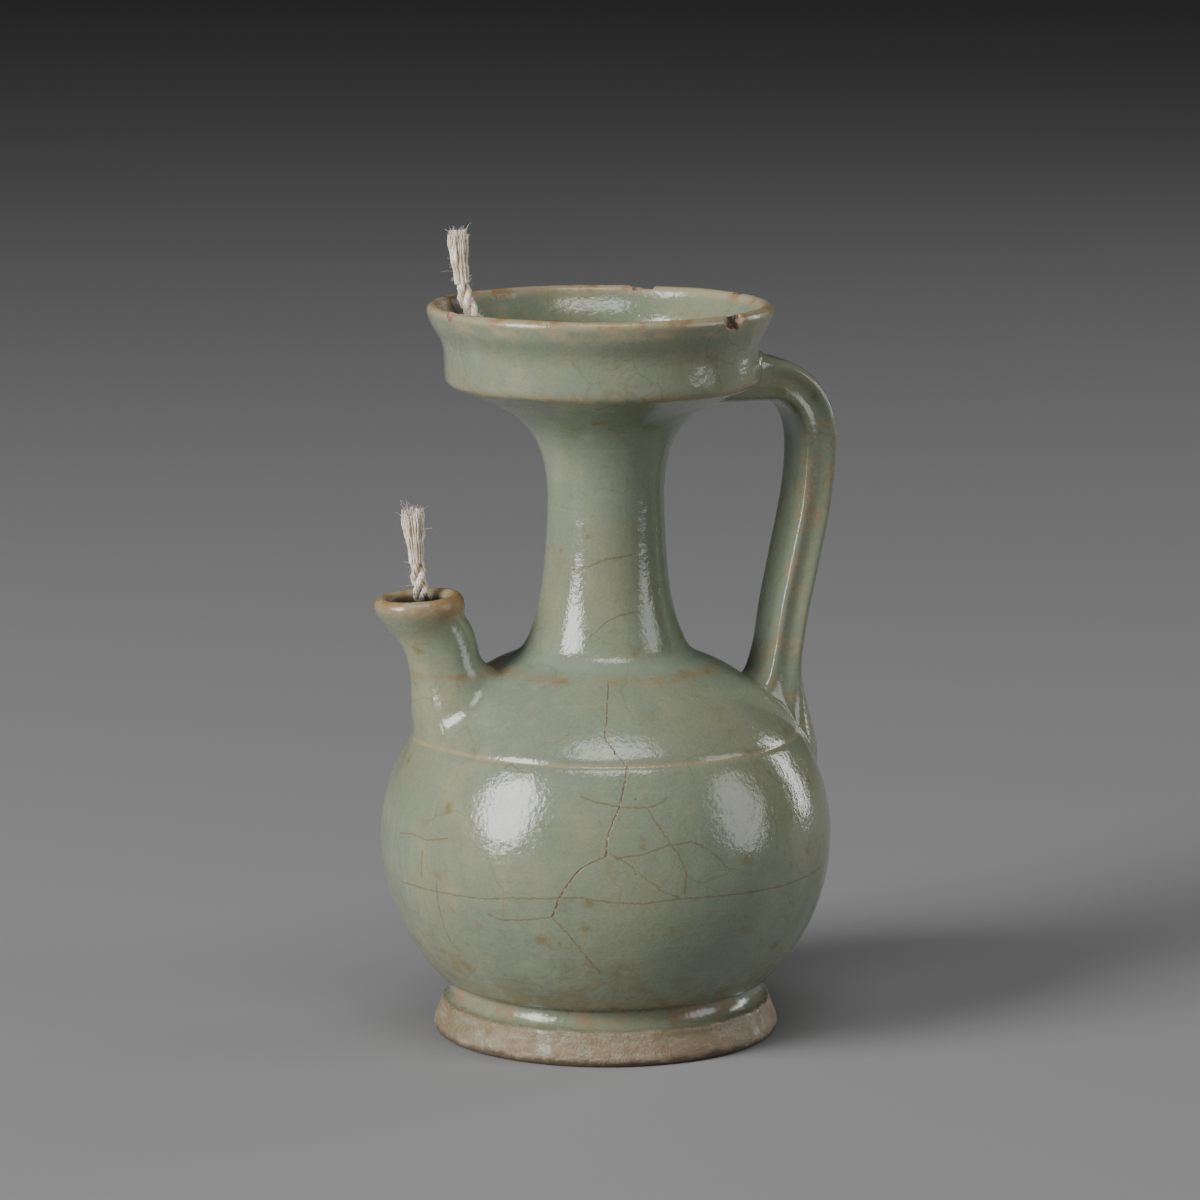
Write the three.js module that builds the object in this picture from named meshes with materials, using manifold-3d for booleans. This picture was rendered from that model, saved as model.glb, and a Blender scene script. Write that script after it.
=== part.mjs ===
import * as THREE from 'three';
import { mergeVertices } from 'three/addons/utils/BufferGeometryUtils.js';
import Module from 'manifold-3d';

// A celadon ewer with a dish mouth, a short upright spout and a strap handle,
// used as an oil lamp with one cotton wick in the spout and one in the dish.
// Millimetres, +Z up, origin on the floor under the middle of the foot,
// spout towards -X and handle towards +X.

// Foot ring
const FOOT_RADIUS = 46.9;
const FOOT_EDGE = 1.1;
const FOOT_BAND_HEIGHT = 8.9;
const FOOT_BAND_TAPER = 2.0;
const FOOT_HEIGHT = 14.3;
const FOOT_WAIST_RADIUS = 41.3;
const FOOT_RING_WIDTH = 8.0;
const FOOT_RECESS = 4.6;
const FLOOR_THICKNESS = 6.4;

// Body
const WALL = 4.4;
const BELLY_RADIUS = 61.2;
const BELLY_HEIGHT = 54.0;
const BELLY_DROP = 57.0;
const SHOULDER_RISE = 53.6;
const FLOOR_SQUARENESS = 2.6;
const SHOULDER_SQUARENESS = 2.05;
const GROOVE_RISE = 28.6;
const GROOVE_WIDTH = 1.8;
const GROOVE_DEPTH = 0.5;

// Neck
const NECK_RADIUS = 15.5;
const NECK_FLARE = 7.7;
const NECK_TAPER = 12.5;
const NECK_FOOT_RISE = 50.0;
const NECK_FOOT_RADIUS = 27.5;

// Dish mouth
const DISH_RADIUS = 42.4;
const DISH_UNDERSIDE = 146.0;
const DISH_EDGE_HEIGHT = 177.0;
const DISH_WALL_TOP = 186.5;
const LIP_RADIUS = 46.6;
const LIP_ROLL = 1.85;
const RIM_HEIGHT = 198.8;
const DISH_LEAN = 1.5;
const LEAN_START = 150.0;

// Spout
const SPOUT_RADIUS = 9.8;
const SPOUT_BORE = 6.6;
const SPOUT_LIP_RADIUS = 12.1;
const SPOUT_LIP_ROLL = 2.3;
const SPOUT_REACH = 52.3;
const SPOUT_HEIGHT = 120.1;
const SPOUT_ROOT_RADIUS = 16.0;

// Handle
const HANDLE_WIDTH = 20.0;
const HANDLE_THICKNESS = 9.7;
const HANDLE_EDGE = 3.0;
const HANDLE_REACH = 63.0;
const HANDLE_BEND_HEIGHT = 157.5;
const HANDLE_TOP_DROP = 20.9;
const HANDLE_FOOT_REACH = 48.8;
const HANDLE_FOOT_HEIGHT = 99.0;
const TAIL_END_HEIGHT = 71.0;
const TAIL_PROUD = 6.2;
const TAIL_THICKNESS = 7.0;

// Wicks
const WICK_DIAMETER = 4.4;

// Facets
const ROUND_STEPS = 40;
const SPOUT_STEPS = 20;
const WICK_SIDES = 8;

const wasm = await Module();
wasm.setup();

function point(radius, height) {
  return new THREE.Vector2(radius, height);
}

// Closed geometry to solid, with the collapsed triangles at the poles left out
function solidOf(geometry) {
  const bare = geometry.clone();
  bare.deleteAttribute('normal');
  bare.deleteAttribute('uv');
  const merged = mergeVertices(bare, 1e-4);
  const index = merged.index.array;
  const kept = [];
  for (let i = 0; i < index.length; i += 3) {
    const [a, b, c] = [index[i], index[i + 1], index[i + 2]];
    if (a !== b && b !== c && c !== a) {
      kept.push(a, b, c);
    }
  }
  const mesh = new wasm.Mesh({
    numProp: 3,
    vertProperties: new Float32Array(merged.attributes.position.array),
    triVerts: new Uint32Array(kept),
  });
  return new wasm.Manifold(mesh);
}

function geometryOf(solid) {
  const mesh = solid.getMesh();
  const geometry = new THREE.BufferGeometry();
  geometry.setAttribute('position', new THREE.BufferAttribute(new Float32Array(mesh.vertProperties), 3));
  geometry.setIndex(new THREE.BufferAttribute(new Uint32Array(mesh.triVerts), 1));
  return geometry;
}

function turned(profile, steps) {
  const geometry = new THREE.LatheGeometry(profile, steps);
  geometry.rotateX(Math.PI / 2);
  return geometry;
}

function alongCurve(curve, steps) {
  return curve.getPoints(steps).map((p) => point(p.x, p.y));
}

// Belly radius at a height, for an outer surface or one a given thickness inside it
function bellyRadius(height, inside = 0) {
  const rise = height - BELLY_HEIGHT;
  const reach = rise > 0 ? SHOULDER_RISE - inside : BELLY_DROP - inside;
  const power = rise > 0 ? SHOULDER_SQUARENESS : 2;
  const share = Math.min(1, Math.abs(rise) / reach);
  return (BELLY_RADIUS - inside) * Math.pow(1 - Math.pow(share, power), 1 / power);
}

// Point on the shoulder, from the widest girth at 0 to the top of the curve at a right angle
function shoulderPoint(angle, inside = 0) {
  const power = 2 / SHOULDER_SQUARENESS;
  const radius = (BELLY_RADIUS - inside) * Math.pow(Math.cos(angle), power);
  return point(radius, BELLY_HEIGHT + (SHOULDER_RISE - inside) * Math.pow(Math.sin(angle), power));
}

function shoulderAngleAtHeight(height) {
  return Math.asin(Math.pow((height - BELLY_HEIGHT) / SHOULDER_RISE, SHOULDER_SQUARENESS / 2));
}

function shoulderAngleAtRadius(radius, inside = 0) {
  return Math.acos(Math.pow(radius / (BELLY_RADIUS - inside), SHOULDER_SQUARENESS / 2));
}

const NECK_FOOT_HEIGHT = BELLY_HEIGHT + NECK_FOOT_RISE;
const GROOVE_HEIGHT = BELLY_HEIGHT + GROOVE_RISE;

function neckRadius(height) {
  return NECK_RADIUS + NECK_FLARE * Math.exp((NECK_FOOT_HEIGHT - height) / NECK_TAPER);
}

function footOutline() {
  const inner = FOOT_RADIUS - FOOT_RING_WIDTH;
  const bandTop = FOOT_RADIUS - FOOT_BAND_TAPER;
  const cavetto = new THREE.QuadraticBezierCurve(
    point(bandTop - 0.5, FOOT_BAND_HEIGHT + 0.4),
    point(FOOT_WAIST_RADIUS, FOOT_BAND_HEIGHT + 1.0),
    point(FOOT_WAIST_RADIUS, FOOT_HEIGHT),
  );
  return [
    point(0, FOOT_RECESS),
    point(inner - 1.5, FOOT_RECESS - 0.6),
    point(inner, 0),
    point(FOOT_RADIUS - FOOT_EDGE, 0),
    point(FOOT_RADIUS, FOOT_EDGE * 2),
    point(FOOT_RADIUS - 0.25, FOOT_BAND_HEIGHT * 0.5),
    point(bandTop, FOOT_BAND_HEIGHT),
    ...alongCurve(cavetto, 3),
  ];
}

function bellyOutline() {
  const outline = [];
  const start = Math.asin((FOOT_HEIGHT + 0.5 - BELLY_HEIGHT) / BELLY_DROP);
  const lowSteps = 7;
  for (let i = 0; i < lowSteps; i += 1) {
    const angle = start * (1 - i / lowSteps);
    outline.push(point(BELLY_RADIUS * Math.cos(angle), BELLY_HEIGHT + BELLY_DROP * Math.sin(angle)));
  }
  const groove = shoulderAngleAtHeight(GROOVE_HEIGHT - GROOVE_WIDTH / 2);
  const midSteps = 4;
  for (let i = 0; i <= midSteps; i += 1) {
    outline.push(shoulderPoint(groove * i / midSteps));
  }
  outline.push(point(bellyRadius(GROOVE_HEIGHT) - GROOVE_DEPTH, GROOVE_HEIGHT));
  const above = shoulderAngleAtHeight(GROOVE_HEIGHT + GROOVE_WIDTH / 2);
  const neck = shoulderAngleAtRadius(NECK_FOOT_RADIUS);
  const topSteps = 4;
  for (let i = 0; i <= topSteps; i += 1) {
    outline.push(shoulderPoint(above + (neck - above) * i / topSteps));
  }
  return outline;
}

function neckOutline() {
  const outline = [];
  const foot = NECK_FOOT_HEIGHT + 2.5;
  const fillet = new THREE.QuadraticBezierCurve(
    shoulderPoint(shoulderAngleAtRadius(NECK_FOOT_RADIUS)),
    point(neckRadius(NECK_FOOT_HEIGHT) + 0.6, NECK_FOOT_HEIGHT - 0.6),
    point(neckRadius(foot), foot),
  );
  outline.push(...alongCurve(fillet, 3).slice(1));
  const steps = 5;
  for (let i = 1; i <= steps; i += 1) {
    const height = foot + (DISH_UNDERSIDE - foot) * Math.pow(i / steps, 1.3);
    outline.push(point(neckRadius(height), height));
  }
  return outline;
}

function dishOutline() {
  const start = neckRadius(DISH_UNDERSIDE);
  const spread = DISH_RADIUS - start;
  const rise = DISH_EDGE_HEIGHT - DISH_UNDERSIDE;
  const underside = new THREE.CubicBezierCurve(
    point(start, DISH_UNDERSIDE),
    point(start + spread * 0.005, DISH_UNDERSIDE + rise * 0.65),
    point(start + spread * 0.27, DISH_UNDERSIDE + rise * 0.775),
    point(DISH_RADIUS - 1.2, DISH_EDGE_HEIGHT),
  );
  const lipMiddle = LIP_RADIUS - LIP_ROLL;
  const lipHeight = RIM_HEIGHT - LIP_ROLL;
  const cavetto = new THREE.CubicBezierCurve(
    point(DISH_RADIUS, DISH_WALL_TOP),
    point(DISH_RADIUS + 0.2, DISH_WALL_TOP + 4.2),
    point(LIP_RADIUS - 1.3, lipHeight - 5.4),
    point(LIP_RADIUS - 0.5, lipHeight - 1.6),
  );
  const outline = [
    ...alongCurve(underside, 8).slice(1),
    point(DISH_RADIUS, DISH_EDGE_HEIGHT + 1.7),
    ...alongCurve(cavetto, 4),
  ];
  for (const angle of [0, 50, 95, 140]) {
    const turn = THREE.MathUtils.degToRad(angle);
    outline.push(point(lipMiddle + LIP_ROLL * Math.cos(turn), lipHeight + LIP_ROLL * Math.sin(turn)));
  }
  return outline;
}

// The hollow from the lip down to the floor, a given thickness inside the outer surface
function hollowOutline(inside) {
  const share = inside / WALL;
  const lipMiddle = LIP_RADIUS - LIP_ROLL;
  const wall = DISH_RADIUS - inside;
  const boreTop = neckRadius(DISH_UNDERSIDE) - inside;
  const floorEdge = point(wall - 5.2, DISH_EDGE_HEIGHT + 0.2 - inside * 0.1 + (share - 1) * 1.6);
  const flare = new THREE.QuadraticBezierCurve(
    point(lipMiddle - LIP_ROLL * 0.9, RIM_HEIGHT - LIP_ROLL * 1.5),
    point(wall + 0.7, RIM_HEIGHT - 5.6),
    point(wall + 0.4, RIM_HEIGHT - 10.0),
  );
  const corner = new THREE.QuadraticBezierCurve(
    point(wall, DISH_EDGE_HEIGHT + 6.6 * share),
    point(wall - 0.4, floorEdge.y + 1.4),
    floorEdge,
  );
  const dishFloor = new THREE.CubicBezierCurve(
    floorEdge,
    point(boreTop + (wall - boreTop) * 0.25, DISH_EDGE_HEIGHT - 4.0),
    point(boreTop + 0.3, DISH_EDGE_HEIGHT - 9.0),
    point(boreTop, DISH_UNDERSIDE + 5.0),
  );
  const outline = [
    ...alongCurve(flare, 2),
    ...alongCurve(corner, 2),
    ...alongCurve(dishFloor, 5).slice(1),
  ];
  const boreFoot = NECK_FOOT_HEIGHT + 4.0;
  const boreSteps = 3;
  for (let i = 1; i <= boreSteps; i += 1) {
    const height = DISH_UNDERSIDE + (boreFoot - DISH_UNDERSIDE) * i / boreSteps;
    outline.push(point(neckRadius(height) - inside * 1.3, height));
  }
  const mouth = shoulderAngleAtRadius(NECK_RADIUS + NECK_FLARE * 0.4, inside);
  const upperSteps = 6;
  for (let i = 0; i <= upperSteps; i += 1) {
    outline.push(shoulderPoint(mouth * (1 - i / upperSteps), inside));
  }
  const floor = FOOT_RECESS + FLOOR_THICKNESS * share;
  const lowerSteps = 6;
  const power = 2 / FLOOR_SQUARENESS;
  for (let i = 1; i <= lowerSteps; i += 1) {
    const angle = Math.PI / 2 * i / lowerSteps;
    const radius = (BELLY_RADIUS - inside) * Math.pow(Math.cos(angle), power);
    const height = BELLY_HEIGHT - (BELLY_HEIGHT - floor) * Math.pow(Math.sin(angle), power);
    outline.push(point(i === lowerSteps ? 0 : radius, height));
  }
  return outline;
}

function vesselSolid() {
  const profile = [
    ...footOutline(),
    ...bellyOutline(),
    ...neckOutline(),
    ...dishOutline(),
    ...hollowOutline(WALL),
  ];
  return solidOf(turned(profile, ROUND_STEPS));
}

// What the roots of spout and handle must not reach, half way through the wall
function heartSolid() {
  const hollow = hollowOutline(WALL / 2);
  const cover = [point(0, RIM_HEIGHT), point(hollow[0].x, RIM_HEIGHT)];
  return solidOf(turned([...cover, ...hollow].reverse(), ROUND_STEPS));
}

// Spout: round sections whose middles follow a curve and whose planes tip outwards
const SPOUT_ROOT = new THREE.Vector3(SPOUT_REACH - 19.6, 0.73, SPOUT_HEIGHT - 37.0);
const SPOUT_LINE = new THREE.CatmullRomCurve3([
  SPOUT_ROOT,
  new THREE.Vector3(SPOUT_REACH - 12.1, 0.68, SPOUT_HEIGHT - 29.4),
  new THREE.Vector3(SPOUT_REACH - 8.2, 0.60, SPOUT_HEIGHT - 23.8),
  new THREE.Vector3(SPOUT_REACH - 6.9, 0.42, SPOUT_HEIGHT - 15.4),
  new THREE.Vector3(SPOUT_REACH - 5.2, 0.25, SPOUT_HEIGHT - 9.2),
  new THREE.Vector3(SPOUT_REACH - 1.6, 0.12, SPOUT_HEIGHT - 4.8),
  new THREE.Vector3(SPOUT_REACH, 0.08, SPOUT_HEIGHT),
], false, 'centripetal');
const SPOUT_LENGTH = SPOUT_LINE.getLength();

function spoutStation(distance) {
  const share = THREE.MathUtils.clamp(distance / SPOUT_LENGTH, 0, 1);
  const middle = SPOUT_LINE.getPointAt(share);
  const tip = middle.y;
  const normal = new THREE.Vector3(-Math.sin(tip), 0, Math.cos(tip));
  const across = new THREE.Vector3(Math.cos(tip), 0, Math.sin(tip));
  const place = new THREE.Vector3(-middle.x, 0, middle.z);
  place.addScaledVector(normal, distance - share * SPOUT_LENGTH);
  return { place, across };
}

function bentToSpout(geometry) {
  const position = geometry.attributes.position;
  for (let i = 0; i < position.count; i += 1) {
    const { place, across } = spoutStation(position.getZ(i));
    place.addScaledVector(across, position.getX(i));
    place.y += position.getY(i);
    position.setXYZ(i, place.x, place.y, place.z);
  }
  return geometry;
}

function spoutSolid() {
  const lip = SPOUT_LENGTH;
  const roll = SPOUT_LIP_RADIUS - SPOUT_LIP_ROLL;
  const profile = [
    point(0, 0),
    point(SPOUT_ROOT_RADIUS + 2, 0),
    point(SPOUT_ROOT_RADIUS, lip * 0.21),
    point(SPOUT_RADIUS + 3.2, lip * 0.35),
    point(SPOUT_RADIUS + 0.9, lip * 0.48),
    point(SPOUT_RADIUS, lip * 0.62),
    point(SPOUT_RADIUS + 0.2, lip * 0.73),
    point(SPOUT_LIP_RADIUS - 1.0, lip - 5.0),
    point(SPOUT_LIP_RADIUS - 0.3, lip - 2.4),
    point(SPOUT_LIP_RADIUS, lip - 0.4),
    point(roll + SPOUT_LIP_ROLL * 0.7, lip + 1.2),
    point(roll, lip + 1.9),
    point(0, lip + 1.9),
  ];
  return solidOf(bentToSpout(turned(profile, SPOUT_STEPS)));
}

function spoutBoreSolid() {
  const lip = SPOUT_LENGTH;
  const roll = SPOUT_LIP_RADIUS - SPOUT_LIP_ROLL;
  const profile = [
    point(0, -3),
    point(SPOUT_BORE, -3),
    point(SPOUT_BORE, lip * 0.35),
    point(SPOUT_BORE, lip * 0.7),
    point(SPOUT_BORE + 0.6, lip - 2.0),
    point(SPOUT_BORE + 1.3, lip + 0.6),
    point(roll - 0.4, lip + 2.2),
    point(roll - 0.4, lip + 4),
    point(0, lip + 4),
  ];
  return solidOf(bentToSpout(turned(profile, SPOUT_STEPS)));
}

// Strap section: rounded corners, and a shallow channel along each narrow side
function strapSection(thickness, width, edge) {
  const shape = [];
  const halfT = thickness / 2 - edge;
  const halfW = width / 2 - edge;
  const corners = [[halfT, halfW, 0], [-halfT, halfW, 90], [-halfT, -halfW, 180], [halfT, -halfW, 270]];
  for (const [x, y, from] of corners) {
    for (const turn of [0, 45, 90]) {
      const angle = THREE.MathUtils.degToRad(from + turn);
      shape.push(point(x + edge * Math.cos(angle), y + edge * Math.sin(angle)));
    }
  }
  return new THREE.Shape(shape);
}

// A straight bar of the section, bent onto a curve that lies in the plane of the handle
function bentBar(curve, section, steps, scaleAt) {
  const length = curve.getLength();
  const geometry = new THREE.ExtrudeGeometry(section, { depth: length, steps, bevelEnabled: false });
  const position = geometry.attributes.position;
  for (let i = 0; i < position.count; i += 1) {
    const share = THREE.MathUtils.clamp(position.getZ(i) / length, 0, 1);
    const place = curve.getPointAt(share);
    const along = curve.getTangentAt(share);
    const [thick, wide] = scaleAt(share);
    const out = position.getX(i) * thick;
    place.x -= along.z * out;
    place.z += along.x * out;
    place.y -= position.getY(i) * wide;
    position.setXYZ(i, place.x, place.y, place.z);
  }
  return geometry;
}

function handleSolid() {
  const half = HANDLE_THICKNESS / 2;
  const bend = HANDLE_REACH - half;
  const top = RIM_HEIGHT - HANDLE_TOP_DROP;
  const foot = HANDLE_FOOT_REACH;
  const fall = HANDLE_BEND_HEIGHT - HANDLE_FOOT_HEIGHT;
  const inset = bend - foot;
  const curve = new THREE.CatmullRomCurve3([
    new THREE.Vector3(DISH_RADIUS - 12.0, 0, top - 0.6),
    new THREE.Vector3(DISH_RADIUS - 4.0, 0, top),
    new THREE.Vector3(DISH_RADIUS + 2.2, 0, top - 0.1),
    new THREE.Vector3(bend - 8.6, 0, top - 1.5),
    new THREE.Vector3(bend - 4.7, 0, top - 4.2),
    new THREE.Vector3(bend - 1.6, 0, top - 8.7),
    new THREE.Vector3(bend - 0.1, 0, top - 14.2),
    new THREE.Vector3(bend, 0, HANDLE_BEND_HEIGHT),
    new THREE.Vector3(bend - inset * 0.14, 0, HANDLE_FOOT_HEIGHT + fall * 0.75),
    new THREE.Vector3(foot + inset * 0.63, 0, HANDLE_FOOT_HEIGHT + fall * 0.565),
    new THREE.Vector3(foot + inset * 0.41, 0, HANDLE_FOOT_HEIGHT + fall * 0.40),
    new THREE.Vector3(foot + inset * 0.21, 0, HANDLE_FOOT_HEIGHT + fall * 0.245),
    new THREE.Vector3(foot + inset * 0.06, 0, HANDLE_FOOT_HEIGHT + fall * 0.09),
    new THREE.Vector3(foot, 0, HANDLE_FOOT_HEIGHT),
    new THREE.Vector3(foot - 1.6, 0, HANDLE_FOOT_HEIGHT - 8.0),
    new THREE.Vector3(foot - 3.6, 0, HANDLE_FOOT_HEIGHT - 16.0),
  ], false, 'centripetal');
  const section = strapSection(HANDLE_THICKNESS, HANDLE_WIDTH, HANDLE_EDGE);
  const scaleAt = (share) => {
    const atDish = 1 - THREE.MathUtils.smoothstep(share, 0.18, 0.40);
    const atFoot = THREE.MathUtils.smoothstep(share, 0.84, 0.96);
    return [1 + 0.16 * atDish + 0.22 * atFoot, 1 + 0.10 * atDish + 0.12 * atFoot];
  };
  return solidOf(bentBar(curve, section, 26, scaleAt));
}

// Tongue of clay pressed down over the shoulder below the handle
function tailSolid() {
  const half = TAIL_THICKNESS / 2;
  const onShoulder = (height, proud) => new THREE.Vector3(bellyRadius(height) + proud - half, 0, height);
  const drop = HANDLE_FOOT_HEIGHT - TAIL_END_HEIGHT;
  const curve = new THREE.CatmullRomCurve3([
    new THREE.Vector3(HANDLE_FOOT_REACH, 0, HANDLE_FOOT_HEIGHT),
    new THREE.Vector3(HANDLE_FOOT_REACH + 1.6, 0, HANDLE_FOOT_HEIGHT - drop * 0.24),
    onShoulder(HANDLE_FOOT_HEIGHT - drop * 0.45, TAIL_PROUD),
    onShoulder(HANDLE_FOOT_HEIGHT - drop * 0.66, TAIL_PROUD * 0.84),
    onShoulder(HANDLE_FOOT_HEIGHT - drop * 0.84, TAIL_PROUD * 0.52),
    onShoulder(TAIL_END_HEIGHT, TAIL_PROUD * 0.06),
  ], false, 'centripetal');
  const section = strapSection(TAIL_THICKNESS, HANDLE_WIDTH, HANDLE_EDGE);
  const scaleAt = (share) => [1, 1 - 0.60 * Math.pow(share, 3)];
  return solidOf(bentBar(curve, section, 9, scaleAt));
}

// Chips at the lip: a wedge with its point down, driven in from outside
function chipSolid(bearing, width, depth, drop, lean) {
  const top = RIM_HEIGHT + 1;
  const tip = RIM_HEIGHT - drop;
  const outline = new THREE.Shape([
    point(-width / 2, top),
    point(lean, tip),
    point(width / 2, top),
  ]);
  const reach = LIP_ROLL * 2;
  const geometry = new THREE.ExtrudeGeometry(outline, { depth: depth + reach, bevelEnabled: false });
  geometry.translate(0, 0, LIP_RADIUS - depth);
  geometry.rotateX(Math.PI / 2);
  geometry.rotateZ(THREE.MathUtils.degToRad(bearing + 90));
  return solidOf(geometry);
}

// Hand-thrown: the dish sits a little off the axis, towards the spout
function leaning(geometry) {
  const position = geometry.attributes.position;
  for (let i = 0; i < position.count; i += 1) {
    const share = THREE.MathUtils.smoothstep(position.getZ(i), LEAN_START, RIM_HEIGHT);
    position.setX(i, position.getX(i) - DISH_LEAN * share);
  }
  return geometry;
}

function lampBody() {
  const heart = heartSolid();
  const spout = spoutSolid().subtract(heart);
  const handle = handleSolid().add(tailSolid()).subtract(heart);
  let body = vesselSolid().add(spout).add(handle);
  body = body.subtract(spoutBoreSolid());
  body = body.subtract(chipSolid(-58.8, 7.2, 3.4, 4.4, 1.0));
  body = body.subtract(chipSolid(-165.5, 3.4, 1.6, 2.2, -0.8));
  body = body.subtract(chipSolid(59.4, 10.5, 1.9, 1.3, 2.5));
  return leaning(geometryOf(body));
}

// A wick: a round cord along chosen points
function wickGeometry(points, steps) {
  const curve = new THREE.CatmullRomCurve3(points.map((p) => new THREE.Vector3(...p)), false, 'centripetal');
  const section = new THREE.Shape();
  const ring = [];
  for (let i = 0; i < WICK_SIDES; i += 1) {
    const angle = 2 * Math.PI * i / WICK_SIDES;
    ring.push(point(WICK_DIAMETER / 2 * Math.cos(angle), WICK_DIAMETER / 2 * Math.sin(angle)));
  }
  section.setFromPoints(ring);
  return new THREE.ExtrudeGeometry(section, { steps, extrudePath: curve, bevelEnabled: false });
}

const SPOUT_WICK = [
  [-53.3, 2.2, 144.7],
  [-52.7, 2.6, 138.9],
  [-52.1, 3.0, 131.9],
  [-51.3, 3.3, 125.4],
  [-50.3, 3.5, 119.4],
  [-48.7, 3.5, 113.9],
  [-46.9, 3.4, 108.4],
  [-45.0, 3.2, 102.0],
  [-42.4, 2.8, 95.5],
  [-38.2, 2.2, 88.5],
  [-34.6, 1.8, 80.0],
  [-32.6, 1.6, 70.0],
  [-31.6, 1.8, 58.0],
  [-31.4, 2.0, 45.0],
  [-31.4, 2.0, 33.0],
  [-30.0, 2.5, 24.6],
  [-25.2, 4.0, 18.0],
  [-17.0, 7.0, 15.2],
  [-8.0, 11.0, 14.2],
];

const DISH_WICK = [
  [-33.2, 28.0, 216.5],
  [-33.1, 27.4, 210.5],
  [-32.8, 26.4, 204.3],
  [-31.9, 25.0, 198.0],
  [-29.3, 21.6, 191.2],
  [-26.0, 19.2, 185.2],
  [-21.0, 15.2, 180.2],
  [-14.8, 10.6, 176.6],
  [-9.8, 6.8, 171.8],
  [-7.4, 4.6, 165.0],
  [-6.6, 3.4, 156.0],
  [-6.5, 3.0, 144.0],
  [-6.6, 2.8, 130.0],
  [-6.6, 2.6, 116.0],
  [-5.4, 2.8, 103.0],
  [-1.5, 4.6, 90.0],
  [4.5, 8.0, 75.0],
  [8.6, 12.0, 60.0],
  [10.0, 15.0, 46.0],
  [10.0, 16.0, 32.0],
  [10.8, 17.2, 23.4],
  [14.8, 18.4, 17.6],
  [21.0, 17.6, 16.6],
  [28.0, 14.0, 17.8],
];

const CELADON = new THREE.MeshStandardMaterial({ color: 0x8f9c88, roughness: 0.18, metalness: 0.0 });
const COTTON = new THREE.MeshStandardMaterial({ color: 0xd9cdb8, roughness: 0.95, metalness: 0.0 });

function named(name, geometry, material) {
  const mesh = new THREE.Mesh(geometry, material);
  mesh.name = name;
  return mesh;
}

const group = new THREE.Group();
group.add(named('lamp_body', lampBody(), CELADON));
group.add(named('spout_wick', wickGeometry(SPOUT_WICK, 22), COTTON));
group.add(named('dish_wick', wickGeometry(DISH_WICK, 32), COTTON));

export default group;
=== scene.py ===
import bisect
import math
import random

import bmesh
import bpy
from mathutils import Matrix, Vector, noise


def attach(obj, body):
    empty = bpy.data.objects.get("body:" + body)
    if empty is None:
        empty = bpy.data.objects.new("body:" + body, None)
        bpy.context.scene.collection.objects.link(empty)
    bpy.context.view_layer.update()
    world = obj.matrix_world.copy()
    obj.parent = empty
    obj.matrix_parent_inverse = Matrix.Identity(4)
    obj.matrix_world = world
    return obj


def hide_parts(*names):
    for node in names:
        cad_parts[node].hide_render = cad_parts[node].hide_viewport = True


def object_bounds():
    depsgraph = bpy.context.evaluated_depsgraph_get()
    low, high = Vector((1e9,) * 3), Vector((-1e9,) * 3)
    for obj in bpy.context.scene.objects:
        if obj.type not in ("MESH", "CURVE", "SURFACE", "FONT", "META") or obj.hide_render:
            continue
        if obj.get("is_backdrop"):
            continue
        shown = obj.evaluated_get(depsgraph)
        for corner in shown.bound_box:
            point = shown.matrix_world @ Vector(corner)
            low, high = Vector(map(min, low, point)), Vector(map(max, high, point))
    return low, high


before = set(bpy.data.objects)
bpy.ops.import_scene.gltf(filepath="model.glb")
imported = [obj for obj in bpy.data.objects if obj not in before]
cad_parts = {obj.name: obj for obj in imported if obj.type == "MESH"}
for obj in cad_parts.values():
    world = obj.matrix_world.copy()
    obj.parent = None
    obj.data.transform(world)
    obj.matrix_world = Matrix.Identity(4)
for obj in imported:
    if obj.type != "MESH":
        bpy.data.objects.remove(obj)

# A celadon ewer with a dish mouth, a short spout and a strap handle, used as an oil lamp.
# Sizes are in millimetres, in the frame of part.mjs: spout towards -X, handle towards +X, foot on Z = 0.
# new_piece turns a mesh into metres.
MM = 0.001
CAD_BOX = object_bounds()

# Foot ring
FOOT_RADIUS = 46.9
FOOT_INNER_RADIUS = 38.9
FOOT_RECESS = 4.6
FOOT_WAIST_RADIUS = 41.3
FOOT_HEIGHT = 14.1

# Body
WALL = 4.4
BELLY_RADIUS = 61.2
BELLY_HEIGHT = 54.0
BELLY_DROP = 57.0
BELLY_FOOT_HEIGHT = 15.0
SHOULDER_RISE = 53.6
SHOULDER_SQUARENESS = 2.05
FLOOR_SQUARENESS = 2.6
FLOOR_TOP = 11.0
GROOVE_HEIGHT = 82.6
GROOVE_REACH = 1.3
GROOVE_DEPTH = 0.42

# Neck
NECK_RADIUS = 15.5
NECK_FLARE = 7.7
NECK_TAPER = 12.5
NECK_FOOT_HEIGHT = 104.0
NECK_FOOT_RADIUS = 27.5

# Dish mouth
DISH_RADIUS = 42.4
DISH_UNDERSIDE = 146.0
DISH_EDGE_HEIGHT = 177.0
DISH_WALL_FOOT = 178.9
DISH_WALL_TOP = 186.5
LIP_RADIUS = 46.6
LIP_ROLL = 1.85
RIM_HEIGHT = 198.8
DISH_LEAN = 1.5
LEAN_START = 150.0

# Spout
SPOUT_BORE = 6.6
SPOUT_LIP_RADIUS = 12.1

# Handle
HANDLE_WIDTH = 20.0
HANDLE_THICKNESS = 9.7
HANDLE_EDGE = 2.5
CHANNEL_DEPTH = 0.95

# Columns of faces round the turned body, and how many rows and columns ease round a hole in it
COLUMNS = 96
EASE = 5


# Camera at the photograph's angle: heading from the front, and how far above the foot
CAMERA_DISTANCE = 1404.0
CAMERA_HEIGHT = 356.5
CAMERA_HEADING = math.radians(17.0)
CAMERA_PITCH = math.radians(9.64)
CAMERA_ASIDE = 1.55
CAMERA_LENS = 158.16


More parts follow.
